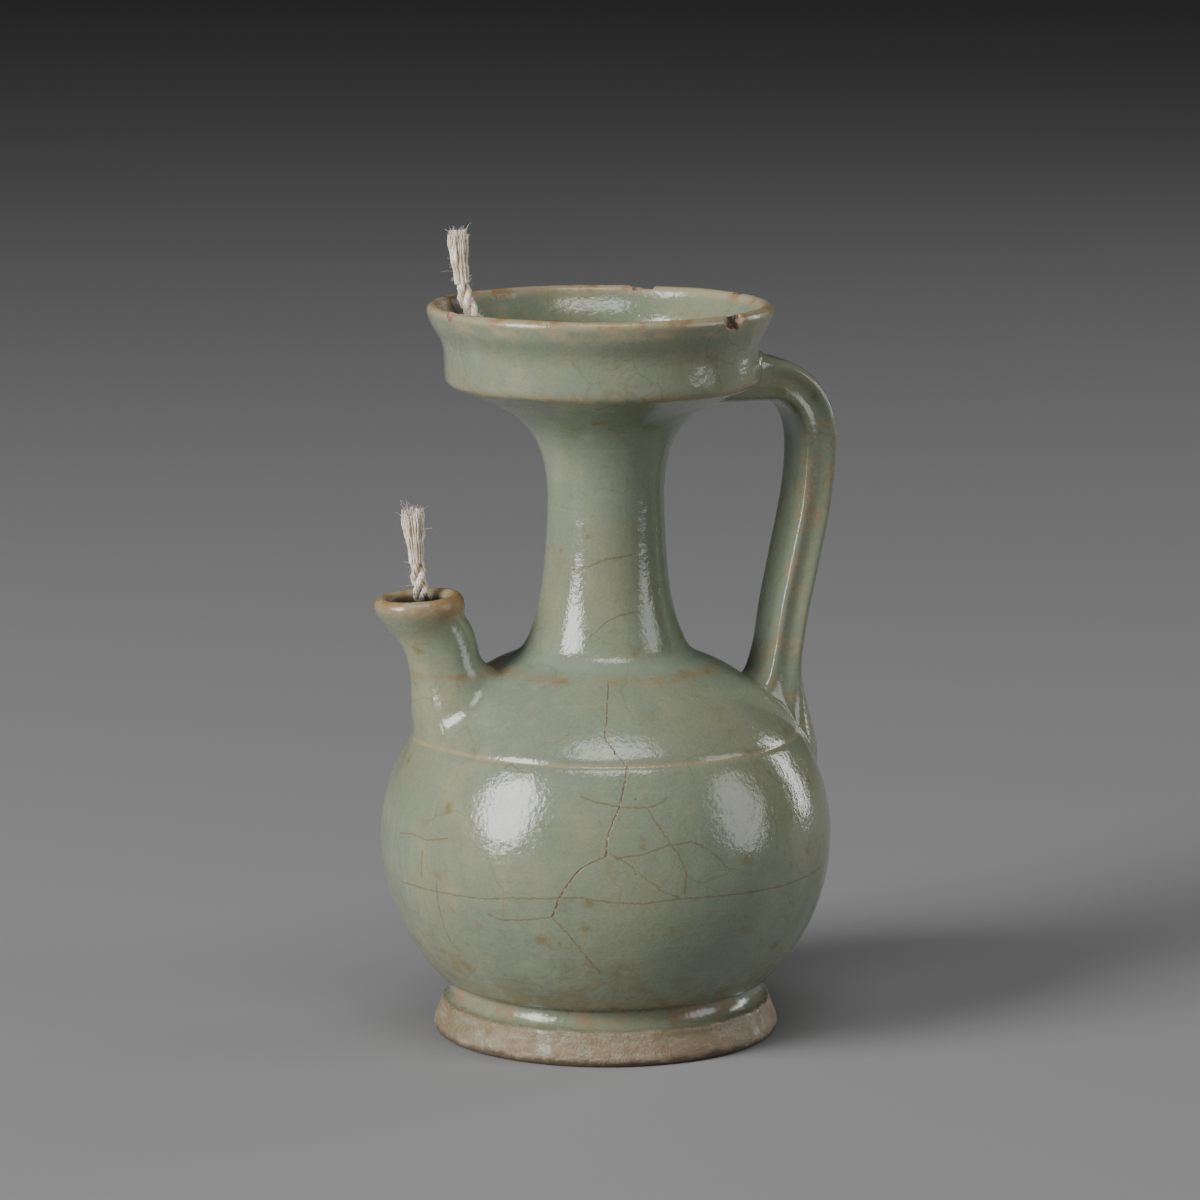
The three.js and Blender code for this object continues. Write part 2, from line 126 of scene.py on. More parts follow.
def set_camera():
    data = bpy.data.cameras.new("camera")
    data.lens = CAMERA_LENS
    data.sensor_width = 36.0
    data.clip_end = 50.0
    camera = bpy.data.objects.new("camera", data)
    bpy.context.collection.objects.link(camera)
    forward = Vector((math.sin(CAMERA_HEADING), math.cos(CAMERA_HEADING), 0))
    right = Vector((math.cos(CAMERA_HEADING), -math.sin(CAMERA_HEADING), 0))
    place = -forward * CAMERA_DISTANCE - right * CAMERA_ASIDE
    place.z = CAMERA_HEIGHT
    camera.location = place * MM
    camera.rotation_euler = (math.pi / 2 - CAMERA_PITCH, 0, -CAMERA_HEADING)
    bpy.context.scene.camera = camera


set_camera()


class Line:
    """Points in a row, read by the distance along them."""

    def __init__(self, points):
        self.points = [Vector(points[0])]
        self.marks = [0.0]
        for place in points[1:]:
            step = (Vector(place) - self.points[-1]).length
            if step > 1e-6:
                self.points.append(Vector(place))
                self.marks.append(self.marks[-1] + step)
        self.length = self.marks[-1]

    def at(self, distance):
        i = bisect.bisect_right(self.marks, distance) - 1
        i = min(max(i, 0), len(self.points) - 2)
        share = (distance - self.marks[i]) / (self.marks[i + 1] - self.marks[i])
        return self.points[i] + (self.points[i + 1] - self.points[i]) * share

    def along(self, distance, reach):
        return (self.at(distance + reach) - self.at(distance - reach)).normalized()

    def mark_where(self, reached, start=0.0, step=0.05):
        """The first distance from start on whose place passes a test."""
        mark = start
        while not reached(self.at(mark)):
            mark += step
        return mark

    def spaced(self, start, end, spacing):
        """Distances from start to end, end left out, about the spacing apart."""
        count = max(1, round((end - start) / spacing))
        return [start + (end - start) * i / count for i in range(count)]


def smooth_line(points, steps=12):
    """A centripetal curve through chosen points, with the steps between each two of them."""
    chosen = [Vector(p) for p in points]
    ends = [chosen[0] * 2 - chosen[1], *chosen, chosen[-1] * 2 - chosen[-2]]
    places = []
    for a, b, c, d in zip(ends, ends[1:], ends[2:], ends[3:]):
        before = (b - a).length ** 0.5
        here = (c - b).length ** 0.5
        after = (d - c).length ** 0.5
        leave = ((b - a) / before - (c - a) / (before + here) + (c - b) / here) * here
        arrive = ((c - b) / here - (d - b) / (here + after) + (d - c) / after) * here
        for i in range(steps):
            t = i / steps
            place = b * (2 * t ** 3 - 3 * t ** 2 + 1) + c * (3 * t ** 2 - 2 * t ** 3)
            places.append(place + leave * (t ** 3 - 2 * t ** 2 + t) + arrive * (t ** 3 - t ** 2))
    places.append(chosen[-1])
    return Line(places)


def bezier(points, steps):
    """Points of a Bezier curve of any degree."""
    places = []
    for i in range(steps + 1):
        level = [Vector(p) for p in points]
        while len(level) > 1:
            level = [a.lerp(b, i / steps) for a, b in zip(level, level[1:])]
        places.append(level[0])
    return places


def smoothstep(low, high, value):
    share = min(max((value - low) / (high - low), 0.0), 1.0)
    return share * share * (3 - 2 * share)


# Wicks: the routes of part.mjs, from the frayed top down to the floor of the body
SPOUT_WICK = [
    (-53.3, 2.2, 144.7),
    (-52.7, 2.6, 138.9),
    (-52.1, 3.0, 131.9),
    (-51.3, 3.3, 125.4),
    (-50.3, 3.5, 119.4),
    (-48.7, 3.5, 113.9),
    (-46.9, 3.4, 108.4),
    (-45.0, 3.2, 102.0),
    (-42.4, 2.8, 95.5),
    (-38.2, 2.2, 88.5),
    (-34.6, 1.8, 80.0),
    (-32.6, 1.6, 70.0),
    (-31.6, 1.8, 58.0),
    (-31.4, 2.0, 45.0),
    (-31.4, 2.0, 33.0),
    (-30.0, 2.5, 24.6),
    (-25.2, 4.0, 18.0),
    (-17.0, 7.0, 15.2),
    (-8.0, 11.0, 14.2),
]
DISH_WICK = [
    (-33.2, 28.0, 216.5),
    (-33.1, 27.4, 210.5),
    (-32.8, 26.4, 204.3),
    (-31.9, 25.0, 198.0),
    (-29.3, 21.6, 191.2),
    (-26.0, 19.2, 185.2),
    (-21.0, 15.2, 180.2),
    (-14.8, 10.6, 176.6),
    (-9.8, 6.8, 171.8),
    (-7.4, 4.6, 165.0),
    (-6.6, 3.4, 156.0),
    (-6.5, 3.0, 144.0),
    (-6.6, 2.8, 130.0),
    (-6.6, 2.6, 116.0),
    (-5.4, 2.8, 103.0),
    (-1.5, 4.6, 90.0),
    (4.5, 8.0, 75.0),
    (8.6, 12.0, 60.0),
    (10.0, 15.0, 46.0),
    (10.0, 16.0, 32.0),
    (10.8, 17.2, 23.4),
    (14.8, 18.4, 17.6),
    (21.0, 17.6, 16.6),
    (28.0, 14.0, 17.8),
]


class Nodes:
    """Short calls for the nodes of a material or a group."""

    def __init__(self, tree):
        self.tree = tree

    def add(self, kind, sockets=(), **settings):
        made = self.tree.nodes.new(kind)
        for name, value in settings.items():
            setattr(made, name, value)
        for key, value in dict(sockets).items():
            self.feed(made.inputs[key], value)
        return made

    def feed(self, socket, value):
        if isinstance(value, bpy.types.NodeSocket):
            self.tree.links.new(value, socket)
        elif socket.type == "RGBA" and len(value) == 3:
            socket.default_value = (*value, 1.0)
        else:
            socket.default_value = value

    def calc(self, operation, *values):
        return self.add("ShaderNodeMath", enumerate(values), operation=operation).outputs[0]

    def vector(self, operation, *values):
        made = self.add("ShaderNodeVectorMath", enumerate(values), operation=operation)
        return made.outputs["Value" if operation == "DISTANCE" else "Vector"]

    def times(self, result, *values):
        for value in values:
            result = self.calc("MULTIPLY", result, value)
        return result

    def most(self, result, *values):
        for value in values:
            result = self.calc("MAXIMUM", result, value)
        return result

    def hypot(self, a, b):
        return self.calc("SQRT", self.calc("ADD", self.times(a, a), self.times(b, b)))

    def step(self, value, low, high):
        """0 below low and 1 above high, smooth between them, or the other way round."""
        made = self.add("ShaderNodeMapRange", {
            "Value": value, "From Min": low, "From Max": high,
        }, interpolation_type="SMOOTHSTEP")
        return made.outputs[0]

    def fade(self, away, reach, core):
        """1 up to the core's share of the reach, and 0 from the reach on."""
        return self.step(away, reach, reach * core)

    def band(self, value, middle, reach):
        """1 at the middle, fading to 0 at the reach on both sides."""
        return self.fade(self.calc("ABSOLUTE", self.calc("SUBTRACT", value, middle)), reach, 0.25)

    def blend(self, share, first, second):
        made = self.add("ShaderNodeMix", {0: share, 6: first, 7: second}, data_type="RGBA")
        return made.outputs[2]

    def painted(self, colour, *layers):
        """A colour under layers of paint, each a mask, its strength and its own colour."""
        for mask, strength, paint in layers:
            colour = self.blend(self.calc("MULTIPLY", mask, strength), colour, paint)
        return colour

    def noise(self, place, scale, detail=2.0, roughness=0.5):
        made = self.add("ShaderNodeTexNoise", {
            "Vector": place, "Scale": scale, "Detail": detail, "Roughness": roughness,
        })
        return made.outputs["Fac"]

    def stretched(self, place, aside, up):
        return self.vector("MULTIPLY", place, (aside, aside, up))

    def streaks(self, place, aside, up, detail, roughness):
        return self.noise(self.stretched(place, aside, up), 1.0, detail, roughness)

    def shaken(self, place, scale, reach):
        """A place pushed about by a noise, so that a pattern on it loses its regular form."""
        push = self.add("ShaderNodeTexNoise", {"Vector": place, "Scale": scale, "Detail": 3.0})
        return self.vector("ADD", place, self.stretched(push.outputs["Color"], reach, reach))

    def dots(self, place, spacing, low, high, share):
        """Round spots in some of the cells of a pattern, from their middle out."""
        cells = self.add("ShaderNodeTexVoronoi", {"Vector": place, "Scale": 1 / spacing})
        away = self.calc("MULTIPLY", cells.outputs["Distance"], spacing)
        chosen = self.add("ShaderNodeSeparateColor", {0: cells.outputs["Color"]}).outputs[0]
        picked = self.calc("LESS_THAN", chosen, share)
        return self.times(self.step(away, high, low), picked)

    def stroke(self, run, across, places, reach):
        """A thin line whose place across is a curve of the place along its run."""
        start = places[0][0]
        length = places[-1][0] - start
        sides = [place[1] for place in places]
        low = min(sides) - 1
        spread = max(sides) + 1 - low
        share = self.add("ShaderNodeMapRange", {"Value": run, "From Min": start, "From Max": start + length})
        curve = self.add("ShaderNodeFloatCurve", {"Value": share.outputs[0]})
        points = curve.mapping.curves[0].points
        while len(points) < len(places):
            points.new(0.5, 0.5)
        for point, (along, side) in zip(points, places):
            point.location = ((along - start) / length, (side - low) / spread)
            point.handle_type = "VECTOR"
        curve.mapping.update()
        middle = self.calc("MULTIPLY_ADD", curve.outputs[0], spread, low)
        away = self.calc("ABSOLUTE", self.calc("SUBTRACT", across, middle))
        inside = self.calc("COMPARE", run, start + length / 2, length / 2)
        return self.times(self.fade(away, reach, 0.3), inside)


# Sockets of node groups that aren't numbers
SOCKET_KINDS = {"Place": "NodeSocketVector", "Colour": "NodeSocketColor"}


def add_sockets(group, side, titles):
    for title in titles:
        kind = SOCKET_KINDS.get(title, "NodeSocketFloat")
        group.interface.new_socket(title, in_out=side, socket_type=kind)


def open_group(name, *titles):
    """The nodes of a new group, and its inputs."""
    group = bpy.data.node_groups.new(name, "ShaderNodeTree")
    add_sockets(group, "INPUT", titles)
    nodes = Nodes(group)
    return nodes, [nodes.add("NodeGroupInput").outputs[title] for title in titles]


def closed_group(nodes, results):
    """The group with its outputs."""
    add_sockets(nodes.tree, "OUTPUT", results)
    nodes.add("NodeGroupOutput", results)
    return nodes.tree


def places_group():
    """Millimetre place on the lamp, the angle round from the front, the height and the radius."""
    nodes, _ = open_group("places_on_lamp")
    place = nodes.add("ShaderNodeTexCoord").outputs["Object"]
    place = nodes.stretched(place, 1 / MM, 1 / MM)
    turned = nodes.add("ShaderNodeVectorRotate", {
        "Vector": place, "Axis": (0.0, 0.0, 1.0), "Angle": CAMERA_HEADING,
    })
    x, y, z = nodes.add("ShaderNodeSeparateXYZ", {0: turned.outputs[0]}).outputs
    angle = nodes.calc("ARCTAN2", x, nodes.calc("MULTIPLY", y, -1.0))
    return closed_group(nodes, {
        "Place": place,
        "Angle": nodes.calc("DEGREES", angle),
        "Height": z,
        "Radius": nodes.hypot(x, y),
    })


# Cracks in the glaze, by height in millimetres and angle in degrees from the front.
# The two dark ones and HEIGHT_CRACKS run up as (height, angle), the others run round as (angle, height).
MAIN_CRACK = [
    (60.4, 0.0), (65.7, 0.5), (69.6, 1.9), (72.5, 3.4), (75.4, 4.2), (78.3, 5.1),
    (82.6, 6.1), (85.8, 2.8), (89.3, -0.5), (92.8, 0.3), (96.6, 0.5), (101.0, 1.4),
]
LOWER_CRACK = [
    (43.9, -13.5), (48.7, -11.7), (52.6, -9.5), (55.3, -7.8), (57.5, -5.8), (59.1, -3.0), (60.4, 0.0),
]
HEIGHT_CRACKS = [
    [(27.3, -1.4), (34.1, -6.2), (39.0, -9.6), (43.9, -13.5)],
    [(49.5, 19.6), (54.9, 20.2), (59.1, 18.8), (63.3, 16.2), (68.5, 13.0), (72.3, 10.9)],
    [(30.8, -46.6), (35.2, -47.2), (41.8, -47.6), (49.1, -47.4)],
    [(49.0, -53.6), (56.8, -52.7)],
    [(79.4, -20.5), (82.2, -28.2)],
]
BELLY_CRACKS = [
    [(-31.0, 43.0), (-27.4, 41.8), (-20.4, 42.5), (-13.5, 43.9)],
    [(-65.3, 46.1), (-45.5, 46.8), (-31.8, 47.1), (-23.8, 48.3), (-5.8, 49.5), (1.1, 48.2),
     (10.0, 47.7), (17.7, 48.6), (32.4, 48.1), (51.0, 47.7), (62.0, 48.1), (74.0, 48.4)],
    [(0.8, 61.5), (5.4, 58.5), (9.9, 54.3), (14.4, 50.7), (18.5, 48.8)],
    [(2.0, 60.0), (9.2, 60.8), (15.3, 62.8), (21.9, 63.4), (26.7, 60.9), (32.2, 54.9)],
    [(-7.0, 75.4), (-2.5, 74.2), (4.0, 72.9), (10.9, 72.6), (14.6, 73.7), (16.4, 75.0)],
    [(-64.4, 59.4), (-57.6, 60.5), (-51.2, 60.0), (-43.4, 61.7)],
    [(-30.1, 81.1), (-28.2, 82.2), (-23.9, 79.7)],
]
NECK_CRACKS = [
    [(-23.9, 107.8), (-12.2, 111.3), (0.2, 115.2), (12.1, 117.0), (30.5, 117.7)],
    [(-31.8, 128.8), (-14.7, 129.9), (0.3, 131.9), (25.6, 132.7)],
]


def cracks_group():
    """Dark and faint cracks, and a fine network of crazing between them."""
    nodes, (place, angle, height) = open_group("glaze_cracks", "Place", "Angle", "Height")
    waver = nodes.calc("SUBTRACT", nodes.noise(place, 0.9, 3.0, 0.6), 0.5)
    angle = nodes.calc("MULTIPLY_ADD", waver, 1.3, angle)
    height = nodes.calc("MULTIPLY_ADD", waver, 1.2, height)
    main = nodes.most(
        nodes.stroke(height, angle, MAIN_CRACK, 0.34),
        nodes.stroke(height, angle, LOWER_CRACK, 0.42),
    )
    faint = [nodes.stroke(height, angle, crack, 0.40) for crack in HEIGHT_CRACKS]
    faint += [nodes.stroke(angle, height, crack, 0.34) for crack in BELLY_CRACKS + NECK_CRACKS]
    moved = nodes.stretched(nodes.shaken(place, 0.05, 26.0), 1.0, 0.8)
    cells = nodes.add("ShaderNodeTexVoronoi", {"Vector": moved, "Scale": 0.036}, feature="DISTANCE_TO_EDGE")
    away = nodes.calc("MULTIPLY", cells.outputs["Distance"], 28.0)
    broken = nodes.step(nodes.noise(place, 0.06, 2.0), 0.38, 0.55)
    crazing = nodes.times(nodes.step(away, 0.42, 0.1), broken)
    return closed_group(nodes, {"Main": main, "Faint": nodes.most(*faint), "Crazing": crazing})


def mottle_group():
    """Clouded celadon: grey-green with bluish pools and buff, streaky patches."""
    nodes, (place, angle) = open_group("mottled_celadon", "Place", "Angle")
    big = nodes.noise(place, 0.022, 3.0, 0.55)
    mid = nodes.noise(place, 0.075, 5.0, 0.62)
    small = nodes.noise(place, 0.45, 4.0, 0.65)
    streak = nodes.streaks(place, 0.16, 0.035, 4.0, 0.6)
    turned = nodes.streaks(place, 0.03, 0.55, 3.0, 0.6)
    fine = nodes.streaks(place, 1.2, 3.2, 3.0, 0.6)
    leftward = nodes.calc("MULTIPLY_ADD", nodes.step(angle, 15.0, -62.0), 0.65, 0.35)
    cloud = nodes.calc("MULTIPLY_ADD", streak, 0.6, nodes.times(mid, 0.4))
    olive = nodes.times(nodes.step(small, 0.50, 0.68), nodes.step(mid, 0.60, 0.42))
    colour = nodes.blend(nodes.step(big, 0.42, 0.60), (0.205, 0.228, 0.150), (0.182, 0.220, 0.158))
    colour = nodes.painted(
        colour,
        (nodes.times(nodes.step(cloud, 0.46, 0.64), leftward), 0.42, (0.325, 0.295, 0.165)),
        (nodes.step(mid, 0.52, 0.70), 0.25, (0.265, 0.290, 0.210)),
        (olive, 0.40, (0.175, 0.170, 0.085)),
        (nodes.step(turned, 0.55, 0.70), 0.12, (0.34, 0.32, 0.21)),
        (nodes.step(fine, 0.48, 0.72), 0.35, (0.150, 0.160, 0.095)),
        (nodes.step(fine, 0.50, 0.30), 0.22, (0.280, 0.300, 0.215)),
    )
    return closed_group(nodes, {"Colour": colour})


# Where the lamp is stained: the mouth of the spout and rings round the shoulder; and the middle of the
# painted shadow that the dish's wick casts on the dish wall
SPOUT_MOUTH = (-52.3, 0.0, 121.2)
WICK_SHADOW_PLACE = (-33.5, 26.0, 190.0)
DISH_EDGE_STAIN = 177.4
GIRTH_STAIN = 93.2
NECK_STAIN = 100.9
# The axis of the spout's bore near its mouth lies at x = BORE_AXIS_START - BORE_AXIS_SLOPE * height
BORE_AXIS_START = 1.5
BORE_AXIS_SLOPE = 0.448


def bore_shade_and_wick_shadow_mask(nodes, place, height, radius, patch):
    """Painted shade with some char down the bore of the spout, and the painted shadow of the dish's wick on
    the dish wall beside it.
    """
    x, y, _ = nodes.add("ShaderNodeSeparateXYZ", {0: place}).outputs
    aside = nodes.calc("ADD", nodes.calc("MULTIPLY", height, BORE_AXIS_SLOPE), x)
    inside = nodes.hypot(y, nodes.calc("ADD", aside, -BORE_AXIS_START))
    # painted shade, with some char, down the spout's bore below its mouth
    bore = nodes.times(
        nodes.step(inside, 8.9, 8.0),
        nodes.step(height, 103.0, 106.0),
        nodes.step(x, -36.0, -41.0),
        nodes.step(height, 121.4, 119.6),
    )
    # painted shadow of the dish's wick: a dark patch on the dish wall beside it
    away = nodes.calc("MULTIPLY_ADD", patch, -9.0, nodes.vector("DISTANCE", place, WICK_SHADOW_PLACE))
    flared = nodes.calc("MAXIMUM", nodes.calc("SUBTRACT", height, 187.0), 0.0)
    wall = nodes.calc("MULTIPLY_ADD", flared, -0.4, radius)
    wick_shadow = nodes.times(nodes.step(away, 7.5, 0.5), nodes.step(wall, 41.9, 41.0))
    return nodes.most(bore, nodes.times(wick_shadow, 0.85))


def worn_group():
    """Where the glaze is thin and stained: rims, edges, incised lines and the ridges of the handle. It also
    gives the painted shade in the spout's bore and the painted shadow of the dish's wick.
    """
    nodes, (place, height, radius) = open_group("worn_edges", "Place", "Height", "Radius")
    x, y, _ = nodes.add("ShaderNodeSeparateXYZ", {0: place}).outputs
    patch = nodes.noise(place, 0.16, 5.0, 0.65)
    speck = nodes.noise(place, 0.9, 4.0, 0.7)
    patchy = nodes.step(patch, 0.40, 0.62)
    edge = nodes.times(nodes.band(height, DISH_EDGE_STAIN, 2.0), nodes.step(radius, 38.5, 40.5), patchy)
    rim = nodes.times(nodes.step(height, 195.6, 198.0), nodes.step(radius, 36.0, 38.0))
    outer_rim = nodes.times(nodes.band(height, 195.6, 2.6), nodes.step(radius, 43.5, 45.0), patchy)
    mouth = nodes.step(nodes.vector("DISTANCE", place, SPOUT_MOUTH), 15.5, 12.5)
    lip = nodes.times(mouth, nodes.step(nodes.calc("MULTIPLY_ADD", x, 0.08, height), 111.8, 115.5))
    handle = nodes.times(
        nodes.step(x, 40.0, 43.0),
        nodes.step(height, 84.0, 92.0),
        nodes.step(height, 172.0, 160.0),
        nodes.step(radius, 30.0, 44.0),
    )
    ridges = nodes.times(
        handle, nodes.band(nodes.calc("ABSOLUTE", y), 9.0, 3.2), nodes.step(patch, 0.42, 0.60),
    )
    pores = nodes.times(nodes.step(speck, 0.56, 0.66), patchy)
    spout_specks = nodes.times(nodes.step(x, -40.0, -46.0), nodes.step(height, 76.0, 84.0), pores)
    brown = nodes.most(
        nodes.times(rim, nodes.step(patch, 0.46, 0.62)),
        nodes.times(edge, nodes.step(speck, 0.42, 0.62), 0.8),
        nodes.times(lip, nodes.step(patch, 0.36, 0.60)),
        nodes.times(ridges, nodes.step(speck, 0.44, 0.60), 0.8),
        nodes.times(spout_specks, 0.8),
        nodes.times(nodes.band(height, NECK_STAIN, 1.3), patchy, 0.55),
        nodes.times(nodes.band(height, GIRTH_STAIN, 1.0), nodes.step(patch, 0.52, 0.68), 0.25),
    )
    return closed_group(nodes, {
        "Thin": nodes.most(
            nodes.times(edge, 0.9), rim, outer_rim, nodes.times(lip, 0.9), nodes.times(ridges, 0.4),
        ),
        "Brown": brown,
        # painted shade in the spout's bore and the painted shadow of the dish's wick
        "BoreShadeAndWickShadow": bore_shade_and_wick_shadow_mask(nodes, place, height, radius, patch),
        "Line": nodes.times(nodes.band(height, GROOVE_HEIGHT, 0.75), nodes.step(speck, 0.30, 0.48)),
    })


PLACES = places_group()
CRACKS = cracks_group()
MOTTLE = mottle_group()
WORN = worn_group()


def placed(nodes, group, outputs):
    """A group fed with the outputs of the same names of another one."""
    made = nodes.add("ShaderNodeGroup", node_tree=group)
    for socket in made.inputs:
        nodes.feed(socket, outputs[socket.name])
    return made.outputs


def new_material(name):
    material = bpy.data.materials.new(name)
    material.use_nodes = True
    return material, Nodes(material.node_tree), material.node_tree.nodes["Principled BSDF"]


def finish(nodes, shader, colour, roughness, relief, depth, strength=1.0):
    """Feeds the shader. The relief has a depth in millimetres."""
    bump = nodes.add("ShaderNodeBump", {"Height": relief, "Distance": depth * MM, "Strength": strength})
    nodes.feed(shader.inputs["Base Color"], colour)
    nodes.feed(shader.inputs["Roughness"], roughness)
    nodes.feed(shader.inputs["Normal"], bump.outputs[0])


def foot_layers(nodes, place, height, radius, speck, patch):
    """The mask of the bare clay on the band of the foot and below it, and the stains round it, with painted
    shade in the crease under the belly and on the belly's underside.
    """
    wobble = nodes.calc("MULTIPLY_ADD", patch, 5.0, height)
    band = nodes.times(nodes.step(wobble, 12.2, 11.0), nodes.step(radius, 20.0, 30.0))
    thinned = nodes.step(nodes.noise(place, 0.10, 4.0, 0.6), 0.50, 0.60)
    under = nodes.times(nodes.step(radius, 44.5, 43.5), nodes.step(height, 6.5, 5.5))
    bare = nodes.most(nodes.times(band, nodes.calc("SUBTRACT", 1.0, nodes.times(thinned, 0.55))), under)
    flow = nodes.streaks(place, 0.12, 0.7, 5.0, 0.65)
    clay = nodes.painted(
        nodes.blend(nodes.step(patch, 0.40, 0.64), (0.265, 0.220, 0.142), (0.285, 0.185, 0.112)),
        (nodes.step(speck, 0.52, 0.66), 0.6, (0.15, 0.090, 0.050)),
        (nodes.step(flow, 0.50, 0.62), 0.55, (0.205, 0.120, 0.062)),
        (nodes.step(flow, 0.46, 0.34), 0.50, (0.370, 0.335, 0.235)),
    )
    waist = nodes.times(nodes.band(height, 12.0, 3.0), nodes.step(patch, 0.50, 0.60))
    # painted shade in the crease where the belly meets the foot, under the belly's overhang
    crease_shade_under_belly = nodes.times(
        nodes.band(height, 14.9, 1.6), nodes.step(radius, 47.5, 45.0), nodes.step(speck, 0.34, 0.5),
    )
    # darker olive patches on the belly's underside above the foot: stains and painted shade
    underside_stain_and_shade = nodes.times(
        nodes.step(height, 34.0, 15.0), nodes.step(patch, 0.44, 0.62), nodes.step(radius, 43.0, 44.0),
    )
    dirt = nodes.step(nodes.calc("MULTIPLY_ADD", patch, -5.0, height), 0.2, -1.4)
    return bare, dirt, [
        (bare, 1.0, clay),
        (waist, 0.65, (0.30, 0.180, 0.105)),
        (crease_shade_under_belly, 0.7, (0.11, 0.085, 0.045)),
        (underside_stain_and_shade, 0.55, (0.165, 0.140, 0.070)),
        (dirt, 0.85, (0.085, 0.058, 0.034)),
    ]


def spot_layers(nodes, place, height, patch):
    """Olive dots, olive clouds that thicken low down, and rusty dots."""
    shaken = nodes.shaken(place, 0.5, 3.2)
    cloudy = nodes.step(nodes.noise(place, 0.09, 6.0, 0.72), 0.56, 0.68)
    low = nodes.calc("MULTIPLY_ADD", nodes.step(height, 48.0, 20.0), 0.6, 0.3)
    rusty = nodes.times(nodes.dots(shaken, 4.6, 0.1, 0.9, 0.30), nodes.step(patch, 0.50, 0.62))
    return [
        (nodes.dots(shaken, 11.0, 0.2, 2.5, 0.42), 0.72, (0.155, 0.120, 0.040)),
        (nodes.times(cloudy, low), 0.75, (0.180, 0.140, 0.052)),
        (rusty, 0.75, (0.20, 0.105, 0.040)),
    ]


def glaze_material():
    material, nodes, shader = new_material("celadon_glaze")
    where = nodes.add("ShaderNodeGroup", node_tree=PLACES).outputs
    place = where["Place"]
    height = where["Height"]
    radius = where["Radius"]
    worn = placed(nodes, WORN, where)
    cracks = placed(nodes, CRACKS, where)
    speck = nodes.noise(place, 1.1, 4.0, 0.7)
    patch = nodes.noise(place, 0.13, 5.0, 0.65)
    pool = nodes.most(nodes.band(height, 103.6, 2.6), nodes.times(nodes.band(height, 81.3, 1.3), 0.5))
    pool = nodes.times(pool, nodes.step(radius, 48.0, 20.0))
    craze = nodes.most(nodes.times(cracks["Crazing"], 0.26), nodes.times(cracks["Faint"], 0.62))
    beads = nodes.times(cracks["Main"], nodes.step(speck, 0.36, 0.50))
    pinholes = nodes.most(nodes.dots(place, 5.5, 0.05, 0.32, 0.30), nodes.dots(place, 9.0, 0.1, 0.55, 0.18))
    bare, dirt, foot = foot_layers(nodes, place, height, radius, speck, patch)
    colour = nodes.painted(
        placed(nodes, MOTTLE, where)["Colour"],
        (pool, 0.45, (0.190, 0.265, 0.205)),
        *spot_layers(nodes, place, height, patch),
        (worn["Thin"], 0.75, (0.35, 0.285, 0.170)),
        (worn["Brown"], 0.8, (0.25, 0.140, 0.055)),
        (worn["Line"], 0.55, (0.36, 0.28, 0.16)),
        (craze, 1.0, (0.150, 0.110, 0.055)),
        (cracks["Main"], 0.55, (0.42, 0.27, 0.15)),
        (beads, 0.85, (0.06, 0.035, 0.025)),
        (pinholes, 0.75, (0.07, 0.06, 0.045)),
        *foot,
        # nearly black: painted shade in the spout's bore and the painted shadow of the dish's wick
        (worn["BoreShadeAndWickShadow"], 0.93, (0.040, 0.022, 0.012)),
    )
    dull = nodes.most(
        nodes.times(bare, 0.30),
        nodes.times(dirt, 0.65),
        nodes.times(worn["Thin"], 0.12),
        nodes.times(worn["Brown"], 0.22),
        nodes.times(worn["BoreShadeAndWickShadow"], 0.5),
        nodes.times(nodes.most(cracks["Main"], pinholes), 0.4),
        nodes.times(nodes.step(speck, 0.50, 0.72), 0.06),
    )
    shader.inputs["IOR"].default_value = 1.52
    relief = nodes.times(nodes.noise(place, 0.75, 3.0, 0.55), 0.11)
    relief = nodes.calc("MULTIPLY_ADD", nodes.noise(place, 0.11, 2.0, 0.5), 0.30, relief)
    grit = nodes.times(nodes.noise(place, 1.3, 5.0, 0.7), bare)
    relief = nodes.calc("MULTIPLY_ADD", grit, 0.42, relief)
    pits = nodes.most(nodes.times(pinholes, 0.06), nodes.times(cracks["Main"], 0.06))
    relief = nodes.calc("SUBTRACT", relief, pits)
    finish(nodes, shader, colour, nodes.calc("ADD", dull, 0.125), relief, 1.0)
    return material


def break_material():
    """Fired clay showing in the chips of the lip: grey to salmon, gritty, matt, with painted shade deep in
    the notch.
    """
    material, nodes, shader = new_material("broken_clay")
    where = nodes.add("ShaderNodeGroup", node_tree=PLACES).outputs
    place = where["Place"]
    angle = where["Angle"]
    grain = nodes.noise(place, 1.4, 5.0, 0.7)
    patch = nodes.noise(place, 0.35, 3.0, 0.6)
    outward = nodes.step(where["Height"], 197.0, 194.6)
    deep = nodes.step(where["Radius"], 45.6, 44.2)
    in_notch = nodes.times(nodes.step(angle, 51.4, 50.6), nodes.step(angle, 45.0, 46.0))
    colour = nodes.painted(
        nodes.blend(nodes.step(patch, 0.40, 0.62), (0.36, 0.25, 0.17), (0.46, 0.31, 0.21)),
        (nodes.step(grain, 0.46, 0.64), 0.6, (0.20, 0.115, 0.07)),
        # painted shade deep in the V of the notch, where the fracture lies in shadow
        (nodes.times(nodes.most(deep, nodes.times(outward, 0.4)), in_notch), 0.85, (0.045, 0.028, 0.018)),
    )
    finish(nodes, shader, colour, 0.75, grain, 0.3)
    return material


